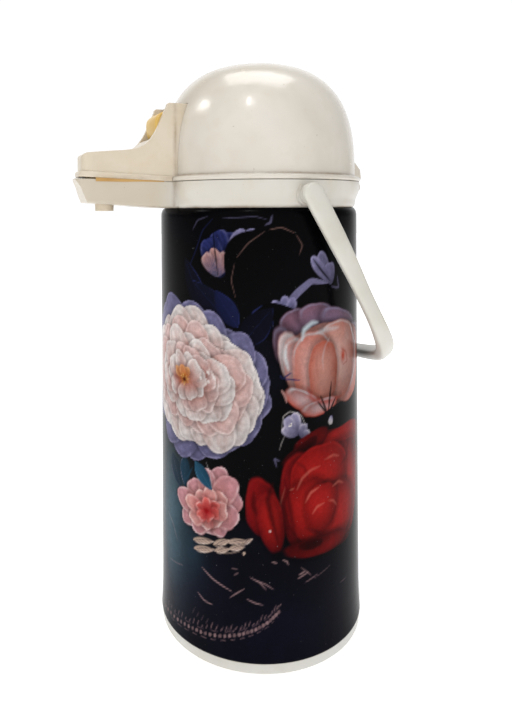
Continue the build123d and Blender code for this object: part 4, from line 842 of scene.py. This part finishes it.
    # ---- small pink rose
    fan((-34.7, 89.2), [(-59.3, 92.8), (-48.3, 105.5), (-35.8, 114.3), (-25.0, 117.3), (-17.2, 111.8), (-14.9, 101.3), (-15.8, 88.3), (-21.4, 79.9), (-32.6, 76.5),
                      (-45.4, 75.7), (-55.0, 80.7)], 10.0, ROSE * 0.62, np.array(lin(214, 158, 162)), CREAM * 0.95, seed=50, wave=0.04)
    fan((-35.1, 88.7), [(-51.8, 92.4), (-42.7, 100.0), (-32.4, 103.6), (-23.3, 101.0), (-21.8, 92.5), (-26.5, 83.0), (-37.6, 78.9), (-48.1, 80.4)], 7.2,
        np.array(lin(190, 84, 84)), PINK * 1.0, CREAM, seed=51, wave=0.05)
    fan((-35.8, 88.8), [(-43.3, 92.1), (-35.9, 97.3), (-28.3, 95.7), (-27.1, 89.4), (-32.5, 84.3), (-42.0, 83.6)], 4.6, np.array(lin(176, 40, 48)),
        np.array(lin(224, 120, 112)), CREAM * 0.9, seed=52, wave=0.05)
    glow((-35.8, 89.4), 1.8, 1.5, lin(168, 22, 32), 0.9)
    blade((-44.1, 116.3), (-31.9, 102.0), 4.4, TEAL * 1.0, np.array(lin(110, 160, 180)), line_alpha=0.6, seed=13)
    line([(-46.2, 112.1), (-50.1, 105.7), (-54.8, 102.0)], 1.4, TEAL * 0.8, 0.7)
    line([(-35.7, 117.5), (-32.9, 110.8), (-32.2, 103.7)], 0.7, CREAM * 0.7, 0.5)
    # ---- wicker
    straw = np.array(lin(222, 190, 172))
    for a, b, w in (((-46.1, 69.5), (-30.8, 72.5), 2.0), ((-45.5, 64.6), (-30.1, 68.0), 2.0), ((-31.4, 70.6), (-20.7, 75.4), 2.1),
                    ((-22.2, 74.3), (-10.1, 75.9), 1.9), ((-30.5, 67.4), (-20.7, 70.3), 1.8), ((-21.3, 70.4), (-11.8, 72.8), 1.7),
                    ((-14.0, 73.8), (-7.2, 77.8), 1.2)):
        blade(a, b, w, straw * 0.82, CREAM, line_alpha=0.5, vein=False, line_w=0.6)
        line([(a[0] + 1.2, a[1] - 0.1), ((a[0] + b[0]) / 2, (a[1] + b[1]) / 2 + 0.7), (b[0] - 1.2, b[1] + 0.3)], 0.42, np.array(lin(66, 50, 66)), 0.8)
        line([(a[0] + 2.0, a[1] - 0.9), ((a[0] + b[0]) / 2, (a[1] + b[1]) / 2 - 0.7), (b[0] - 0.8, b[1] - 0.5)], 0.4, np.array(lin(90, 70, 84)), 0.7)
    line([(-46.5, 67.0), (-36.9, 69.1), (-30.1, 70.4), (-20.7, 72.3), (-11.1, 74.9)], 0.7, BLACK, 0.8)
    line([(-13.0, 69.0), (-11.9, 68.8)], 2.6, straw * 0.9, 0.9)
    line([(-28.8, 66.6), (-20.7, 68.0), (-14.8, 69.7)], 0.8, straw * 0.7, 0.5)
    pinkish = np.array(lin(196, 158, 156))
    for pts, w, al in (([(-39.2, 55.2), (-31.6, 50.5), (-19.6, 46.0)], 0.8, 0.7), ([(-42.7, 39.5), (-37.9, 36.2), (-31.7, 35.3)], 0.8, 0.6),
                       ([(-21.2, 42.2), (-16.4, 45.9), (-12.6, 48.5)], 0.7, 0.6), ([(-10.9, 42.9), (-6.3, 41.0), (-1.7, 40.0)], 0.8, 0.6),
                       ([(-9.3, 55.6), (-3.4, 52.8), (0.3, 48.6)], 0.8, 0.5), ([(-5.6, 53.9), (-0.5, 52.0), (4.6, 48.7)], 0.7, 0.5),
                       ([(9.4, 65.5), (12.3, 64.1), (13.2, 62.0)], 0.9, 0.55), ([(3.6, 64.5), (6.4, 63.7)], 0.9, 0.55),
                       ([(-71.6, 47.3), (-61.2, 48.9), (-55.3, 50.3)], 0.7, 0.3), ([(-74.7, 75.7), (-66.6, 71.5), (-61.0, 63.1)], 1.0, 0.25),
                       ([(-19.9, 59.5), (-16.3, 59.2)], 1.0, 0.3), ([(-18.4, 55.7), (-15.7, 57.5)], 1.0, 0.3),
                       ([(19.2, 55.3), (23.4, 56.7)], 1.0, 0.55), ([(18.6, 53.3), (25.3, 55.8)], 1.0, 0.5), ([(23.3, 50.2), (31.8, 53.1)], 0.8, 0.35),
                       ([(21.0, 59.3), (27.5, 53.6)], 0.7, 0.4), ([(30.0, 51.4), (41.5, 55.2)], 0.6, 0.25), ([(50.6, 41.2), (59.4, 41.8)], 0.6, 0.2)):
        line(pts, w, pinkish, al)
    arc = [(-79.2, 13.0), (-62.1, 14.6), (-49.0, 16.2), (-37.3, 17.1), (-25.6, 19.0), (-15.0, 22.1), (-6.4, 25.6), (1.5, 30.3), (7.3, 35.7)]
    dense = np.linspace(0, len(arc) - 1, 30)
    for k, q in enumerate(dense):
        x, z = np.interp(q, range(len(arc)), [p[0] for p in arc]), np.interp(q, range(len(arc)), [p[1] for p in arc])
        line([(x - 0.5, z - 0.9), (x + 0.5, z + 1.0)], 1.9, pinkish * (0.85 + 0.2 * math.sin(k * 2.1)), 0.62)
        if k % 1 == 0:
            h = 2.4 + 1.2 * math.sin(k * 1.7)
            line([(x + 0.3, z + 3.0), (x + 1.5, z + 3.4 + h)], 0.55, pinkish, 0.42)
    line([(p[0], p[1] - 2.4) for p in arc], 0.55, pinkish * 0.8, 0.4, dash=90)
    line([(p[0], p[1] + 2.4) for p in arc], 0.5, pinkish * 0.7, 0.35, dash=60)
    for k in range(14):
        x, z = (-46.8, 29.9)[0] + k * 3.4, (-46.8, 25.4)[1] - 3.6 * math.sin(k / 13 * math.pi)
        line([(x, z), (x + 1.6, z + 3.2)], 0.5, pinkish * 0.7, 0.3)


bouquet()
SHIFT, SEED = math.pi * R, 500
bouquet()

# the blues are inky, not bright
blue = np.clip((P.img[..., 2] - np.maximum(P.img[..., 0], P.img[..., 1])) / np.maximum(P.img[..., 2], 1e-4), 0, 1)[..., None] * 0.5
P.img = P.img * (1 - blue) + (P.img @ np.array((0.30, 0.45, 0.25)))[..., None] * blue

# fine printed grain
grain = P.noise(1.6, 1.6, 9, 1)
P.img = np.clip(P.img * (0.93 + 0.14 * grain[..., None]), 0, 1) ** 1.26 * np.array((0.74, 0.83, 0.87))

# closed shell: outer wall, rolled top edge, inner wall
loops = [(r * MM, z * MM) for r, z in zip(rs, zs)]
n_out = len(loops)
loops += [((R - 3.0) * MM, (ZS - 2.2) * MM), ((R - 1.3) * MM, (ZS - 5.2) * MM), ((R - 1.0) * MM, (ZS - 9.0) * MM),
          ((R - 1.0) * MM, BASE_H * MM)]
nl = len(loops)
ca, sa = np.cos(ang), np.sin(ang)
verts = np.empty((nl, N_A, 3))
for i, (r, z) in enumerate(loops):
    verts[i, :, 0], verts[i, :, 1], verts[i, :, 2] = r * ca, r * sa, z
me = bpy.data.meshes.new("casing_painted")
idx = np.arange(nl * N_A).reshape(nl, N_A)
nxt = np.roll(idx, -1, axis=1)
up_i = np.roll(idx, -1, axis=0)
up_n = np.roll(nxt, -1, axis=0)
quads = np.stack([idx, nxt, up_n, up_i], axis=-1).reshape(-1, 4)
me.vertices.add(nl * N_A)
me.vertices.foreach_set("co", verts.reshape(-1))
me.loops.add(quads.size)
me.loops.foreach_set("vertex_index", quads.reshape(-1))
me.polygons.add(len(quads))
me.polygons.foreach_set("loop_start", np.arange(0, quads.size, 4))
me.polygons.foreach_set("loop_total", np.full(len(quads), 4))
me.update(calc_edges=True)
me.validate()
me.polygons.foreach_set("use_smooth", [True] * len(me.polygons))
col = np.zeros((nl, N_A, 4))
col[:n_out, :, :3] = P.img
col[n_out:, :, :3] = np.array(lin(150, 148, 144))
col[..., 3] = 1
at = me.color_attributes.new("paint", "FLOAT_COLOR", "POINT")
at.data.foreach_set("color", col.reshape(-1))
casing = bpy.data.objects.new("casing_painted", me)
scene.collection.objects.link(casing)
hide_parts("casing")
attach(casing, "root")

m, nt, b = new_mat("painted_steel")
att = node(nt, "Attribute", attribute_name="paint")
obj = node(nt, "TexCoord").outputs["Object"]
dots = noise(nt, obj, 1300, 2, 0.5)
cloud = noise(nt, obj, 26, 4, 0.6)
c1 = mix(nt, 1.0, att.outputs["Color"], ramp(nt, dots, [(0.30, (0.90, 0.90, 0.90)), (0.70, (1.08, 1.08, 1.08))]), "MULTIPLY")
c1 = mix(nt, math_node(nt, "MULTIPLY", ramp(nt, noise(nt, obj, 600, 2, 0.5), [(0.745, (0, 0, 0)), (0.775, (1, 1, 1))]), 0.25), c1,
         lin(150, 150, 152))
nt.links.new(c1, b.inputs["Base Color"])
nt.links.new(math_node(nt, "ADD", math_node(nt, "MULTIPLY", cloud, 0.10), 0.17), b.inputs["Roughness"])
bp = node(nt, "Bump")
bp.inputs["Strength"].default_value = 0.05
bp.inputs["Distance"].default_value = 0.0003
nt.links.new(math_node(nt, "ADD", noise(nt, obj, 34, 3), math_node(nt, "MULTIPLY", dots, 0.04)), bp.inputs["Height"])
nt.links.new(bp.outputs[0], b.inputs["Normal"])
b.inputs["Coat Weight"].default_value = 0.0
b.inputs["IOR"].default_value = 1.46
b.inputs["Specular IOR Level"].default_value = 0.035
me.materials.append(m)

# ---------------------------------------------------------------- bail handle
ROUTE = [(72.25, 0.0, 0.0, 13.2, 5.5), (72.25, 30.0, 0.0, 12.3, 5.5), (72.25, 50.0, -0.3, 11.0, 5.5),
         (72.25, 68.0, -1.0, 9.7, 5.5), (72.17, 84.0, -1.5, 9.7, 5.76), (71.0, 95.5, -1.7, 10.6, 6.6),
         (66.8, 105.8, -1.0, 11.2, 7.6), (58.0, 113.9, 0.2, 10.6, 8.0), (43.0, 120.4, 2.5, 9.8, 7.8),
         (22.0, 125.9, 4.6, 9.2, 7.4), (0.0, 129.0, 5.4, 9.0, 7.4)]


def catmull(rows, per):
    rows = np.array(rows, float)
    ext = np.vstack([2 * rows[0] - rows[1], rows, 2 * rows[-1] - rows[-2]])
    # mirrored end so that the middle stays smooth
    m_end = rows[-2].copy()
    m_end[0] = -m_end[0]
    ext[-1] = m_end
    out = []
    for i in range(1, len(ext) - 2):
        p0, p1, p2, p3 = ext[i - 1:i + 3]
        for k in range(per):
            t = k / per
            out.append(0.5 * ((2 * p1) + (-p0 + p2) * t + (2 * p0 - 5 * p1 + 4 * p2 - p3) * t ** 2 + (-p0 + 3 * p1 - 3 * p2 + p3) * t ** 3))
    out.append(rows[-1])
    return np.array(out)


rows = catmull(ROUTE, 10)
end = []
for th in np.linspace(84, 6, 14):
    u = -6.6 * math.sin(math.radians(th))
    wd = 13.2 * math.cos(math.radians(th))
    end.append((72.25, u, 0.0, max(wd, 0.8), 5.5 * min(1.0, 0.55 + 0.45 * math.sqrt(max(wd, 0.8) / 13.2) * 1.25)))
half = np.vstack([end, rows])
other = half[::-1][1:].copy()
other[:, 0] *= -1
path = np.vstack([half, other])


def bail_at(x, u, v):
    return np.array((x, u * math.sin(TILT) + v * math.cos(TILT), PIVOT_Z - u * math.cos(TILT) + v * math.sin(TILT)))


pts = np.array([bail_at(*p[:3]) for p in path])
v_dir = np.array((0, math.cos(TILT), math.sin(TILT)))
M = 40
bv, bf = [], []
for i, p in enumerate(pts):
    t = pts[min(i + 1, len(pts) - 1)] - pts[max(i - 1, 0)]
    t /= np.linalg.norm(t)
    ac = v_dir - t * (v_dir @ t)
    ac /= np.linalg.norm(ac)
    th_dir = np.cross(t, ac)
    w, th = path[i, 3] / 2, path[i, 4] / 2
    outer = 1.0 if th_dir @ np.array((p[0], 0, p[2] - 200.0)) > 0 else -1.0
    for k in range(M):
        q = 2 * math.pi * k / M
        cx, sx = math.cos(q), math.sin(q)
        e = 2 / 3.1
        px_, py_ = w * math.copysign(abs(cx) ** e, cx), th * math.copysign(abs(sx) ** e, sx)
        bv.append((p + ac * px_ + th_dir * py_) * MM)
for i in range(len(pts) - 1):
    for k in range(M):
        a, b_ = i * M + k, i * M + (k + 1) % M
        bf.append((a, b_, b_ + M, a + M))
bf.append(tuple(range(M))[::-1])
bf.append(tuple(range((len(pts) - 1) * M, len(pts) * M)))
bail = mesh_object("bail_moulded", bv, bf, MAT["bail"])
bmx = bmesh.new()
bmx.from_mesh(bail.data)
bmesh.ops.recalc_face_normals(bmx, faces=bmx.faces)
bmx.to_mesh(bail.data)
bmx.free()
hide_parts("bail_handle")
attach(bail, "bail")

# ---------------------------------------------------------------- latch lever
PAD = [(63.0, 47.8), (62.8, 53.5), (63.2, 59.2), (64.8, 60.7), (67.5, 60.3), (70.4, 59.1), (72.8, 57.4), (74.2, 55.5),
       (74.7, 52.8), (74.5, 49.4), (74.1, 46.4), (73.3, 44.8), (72.2, 44.4), (71.0, 45.4), (69.6, 47.2), (66.5, 47.8)]


def closed_curve(points, per=6):
    p = np.array(points, float)
    n, out = len(p), []
    for i in range(n):
        p0, p1, p2, p3 = p[(i - 1) % n], p[i], p[(i + 1) % n], p[(i + 2) % n]
        for k in range(per):
            t = k / per
            out.append(0.5 * ((2 * p1) + (-p0 + p2) * t + (2 * p0 - 5 * p1 + 4 * p2 - p3) * t ** 2 + (-p0 + 3 * p1 - 3 * p2 + p3) * t ** 3))
    return np.array(out)


def cushion(points, half, r, per=6, steps=7):
    """A side profile (s, z) given thickness across x, with its two faces rounded over by r; s runs towards the spout."""
    p = closed_curve(points, per)
    along = np.roll(p, -1, axis=0) - np.roll(p, 1, axis=0)
    along /= np.linalg.norm(along, axis=1)[:, None]
    inward = np.stack([along[:, 1], -along[:, 0]], axis=1)
    if np.mean(np.sum(inward * (p.mean(axis=0) - p), axis=1)) < 0:
        inward = -inward
    vs, fs, n = [], [], len(p)
    q = [math.pi / 2 * k / steps for k in range(steps + 1)]
    rings = [(-half + r * (1 - math.sin(a)), r * (1 - math.cos(a))) for a in reversed(q)]
    rings += [(-x, d) for x, d in reversed(rings)]
    for x, d in rings:
        for s_, z_ in p + inward * d:
            vs.append((x * MM, -s_ * MM, (ZS + z_) * MM))
    for i in range(len(rings) - 1):
        for k in range(n):
            fs.append((i * n + k, i * n + (k + 1) % n, (i + 1) * n + (k + 1) % n, (i + 1) * n + k))
    return vs, fs, n, len(rings)


def cushion_object(name, shapes, mat):
    vs, fs = [], []
    for points, half, r, per in shapes:
        v, f, n, m_ = cushion(points, half, r, per)
        o = len(vs)
        vs += v
        fs += [tuple(o + i for i in q) for q in f]
        fs.append(tuple(o + i for i in range(n))[::-1])
        fs.append(tuple(o + (m_ - 1) * n + i for i in range(n)))
    ob = mesh_object(name, vs, fs, mat)
    bx = bmesh.new()
    bx.from_mesh(ob.data)
    bmesh.ops.triangulate(bx, faces=[f for f in bx.faces if len(f.verts) > 4])
    bmesh.ops.recalc_face_normals(bx, faces=bx.faces)
    bx.to_mesh(ob.data)
    bx.free()
    ob.data.polygons.foreach_set("use_smooth", [True] * len(ob.data.polygons))
    return ob


NOSE = [(47.2, 47.4), (47.1, 48.8), (47.3, 50.2), (49.5, 50.9), (55.0, 51.8), (60.0, 52.7), (64.6, 53.3), (65.0, 50.6), (64.6, 48.2), (58.0, 47.8),
        (52.0, 47.3)]
lever = cushion_object("latch_pad", [(PAD, 11.2, 1.5, 6), (NOSE, 5.4, 0.35, 3)], MAT["yellow"])
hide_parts("latch_lever")
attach(lever, "latch")

# ---------------------------------------------------------------- ochre strip under the spout's flange: yellowed plastic whose ochre is partly painted shade of the gap
def half_width(s_):
    return 17.0 + (11.6 - 17.0) * (s_ - 45.0) / 74.6


def strip_section(s_):
    """Cross-section (outwards, z) of the strip that lies in the gap between the trough's rim and the cover's bead."""
    rim = ZS + 16.0 + (s_ - 64.0) * 1.6 / 55.7
    bead = ZS + 16.3 + (s_ - 65.9) * 2.4 / 55.2
    drop = np.interp(s_, [70, 84, 96, 111], [0.25, 0.55, 1.15, 1.35])
    return [(-1.9, rim + 0.03), (0.02, rim + 0.03), (0.02, rim - drop), (0.26, rim - drop), (0.26, bead - 0.03), (-1.9, bead - 0.03)]


tray = bmesh.new()
src = NODES["spout_tray"]
tray.from_mesh(src.data)
tray.transform(src.matrix_world)
bmesh.ops.remove_doubles(tray, verts=tray.verts, dist=0.00001)
for side in (1, -1):
    stations = np.linspace(70.6, 111.5, 28)
    rows_ = [[tray.verts.new((side * (half_width(s_) + o_) * MM, -s_ * MM, z_ * MM)) for o_, z_ in strip_section(s_)] for s_ in stations]
    for a_, b_ in zip(rows_[:-1], rows_[1:]):
        for k in range(6):
            tray.faces.new((a_[k], a_[(k + 1) % 6], b_[(k + 1) % 6], b_[k]))
    tray.faces.new(rows_[0][::-1])
    tray.faces.new(rows_[-1])
bmesh.ops.triangulate(tray, faces=tray.faces)
bmesh.ops.recalc_face_normals(tray, faces=tray.faces)
tray_me = bpy.data.meshes.new("spout_tray_strip")
tray.to_mesh(tray_me)
tray.free()
tray_me.materials.append(MAT["ochre"])
tray_ob = bpy.data.objects.new("spout_tray_strip", tray_me)
scene.collection.objects.link(tray_ob)
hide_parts("spout_tray")
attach(tray_ob, "root")

# ---------------------------------------------------------------- springs and bellows
def helix(name, centre, axis, radius, wire, length, turns, mat):
    """A round-wire compression spring from centre along axis, with flat end turns."""
    ax = np.array(axis, float)
    e1 = np.array((0.0, 1.0, 0.0)) if abs(ax[1]) < 0.9 else np.array((1.0, 0.0, 0.0))
    e1 -= ax * (e1 @ ax)
    e1 /= np.linalg.norm(e1)
    e2 = np.cross(ax, e1)
    steps = int(turns * 28)
    line_pts = []
    for i in range(steps + 1):
        q = i / steps
        t_ = q * turns
        dead = min(1.0, 0.9 / turns)
        along = np.interp(q, [0, dead, 1 - dead, 1], [wire, wire * 2.2, length - wire * 2.2, length - wire])
        line_pts.append(np.array(centre) + ax * along + radius * (e1 * math.cos(2 * math.pi * t_) + e2 * math.sin(2 * math.pi * t_)))
    line_pts = np.array(line_pts)
    vs, fs, mm = [], [], 10
    for i, p in enumerate(line_pts):
        t_ = line_pts[min(i + 1, steps)] - line_pts[max(i - 1, 0)]
        t_ /= np.linalg.norm(t_)
        a_ = np.cross(t_, ax)
        a_ /= np.linalg.norm(a_)
        b2 = np.cross(t_, a_)
        for k in range(mm):
            w_ = 2 * math.pi * k / mm
            vs.append((p + wire * (a_ * math.cos(w_) + b2 * math.sin(w_))) * MM)
    for i in range(steps):
        for k in range(mm):
            fs.append((i * mm + k, i * mm + (k + 1) % mm, (i + 1) * mm + (k + 1) % mm, (i + 1) * mm + k))
    fs.append(tuple(range(mm))[::-1])
    fs.append(tuple(range(steps * mm, (steps + 1) * mm)))
    o_ = mesh_object(name, vs, fs, mat)
    bq = bmesh.new()
    bq.from_mesh(o_.data)
    bmesh.ops.recalc_face_normals(bq, faces=bq.faces)
    bq.to_mesh(o_.data)
    bq.free()
    return o_


spring = helix("button_spring_coil", (0, 0, ZS + 21.5), (0, 0, 1), 11.2, 0.75, 42.4, 8, MAT["steel"])
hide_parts("button_spring")
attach(spring, "lid")
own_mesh(spring)

coil = helix("latch_spring_coil", (6.1, -66.0, ZS + 51.0), (1, 0, 0), 2.15, 0.4, 3.6, 3.2, MAT["steel"])
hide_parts("latch_spring")
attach(coil, "root")

# rounded pleats of the bellows, a closed lathe shape
prof = []
z_lo, z_hi, folds = ZS + 24.5, ZS + 63.9, 5
for i in range(folds * 24 + 1):
    q = i / (folds * 24)
    r_mid = 28.5 - 3.0 * math.cos(2 * math.pi * folds * q) * (1 - 0.12 * math.cos(4 * math.pi * folds * q))
    prof.append((r_mid, z_lo + (z_hi - z_lo) * q))
outer_p = [(r + 0.55, z) for r, z in prof]
inner_p = [(r - 0.55, z) for r, z in prof][::-1]
ringp = outer_p + inner_p
SEG = 96
bvs = [((r * math.cos(2 * math.pi * k / SEG)) * MM, (r * math.sin(2 * math.pi * k / SEG)) * MM, z * MM) for r, z in ringp for k in range(SEG)]
nr = len(ringp)
bfs = [(i * SEG + k, i * SEG + (k + 1) % SEG, ((i + 1) % nr) * SEG + (k + 1) % SEG, ((i + 1) % nr) * SEG + k) for i in range(nr) for k in range(SEG)]
pleats = mesh_object("bellows_pleated", bvs, bfs, MAT["bellows"])
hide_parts("bellows")
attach(pleats, "lid")
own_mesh(pleats)

# ---------------------------------------------------------------- edges and shading of the carried-over nodes
for name, width in (("collar", 0.35), ("spout_cover", 0.55), ("nozzle", 0.35), ("base_ring", 0.4),
                    ("push_button", 0.3), ("dome_lid", 0.3), ("handle_studs", 0.4)):
    soften(name, width)
for name, o in NODES.items():
    if o.hide_render or o.modifiers:
        continue
    w = o.modifiers.new("weld", "WELD")
    w.merge_threshold = 0.00002
    e = o.modifiers.new("split", "EDGE_SPLIT")
    e.split_angle = math.radians(32)
    o.data.polygons.foreach_set("use_smooth", [True] * len(o.data.polygons))
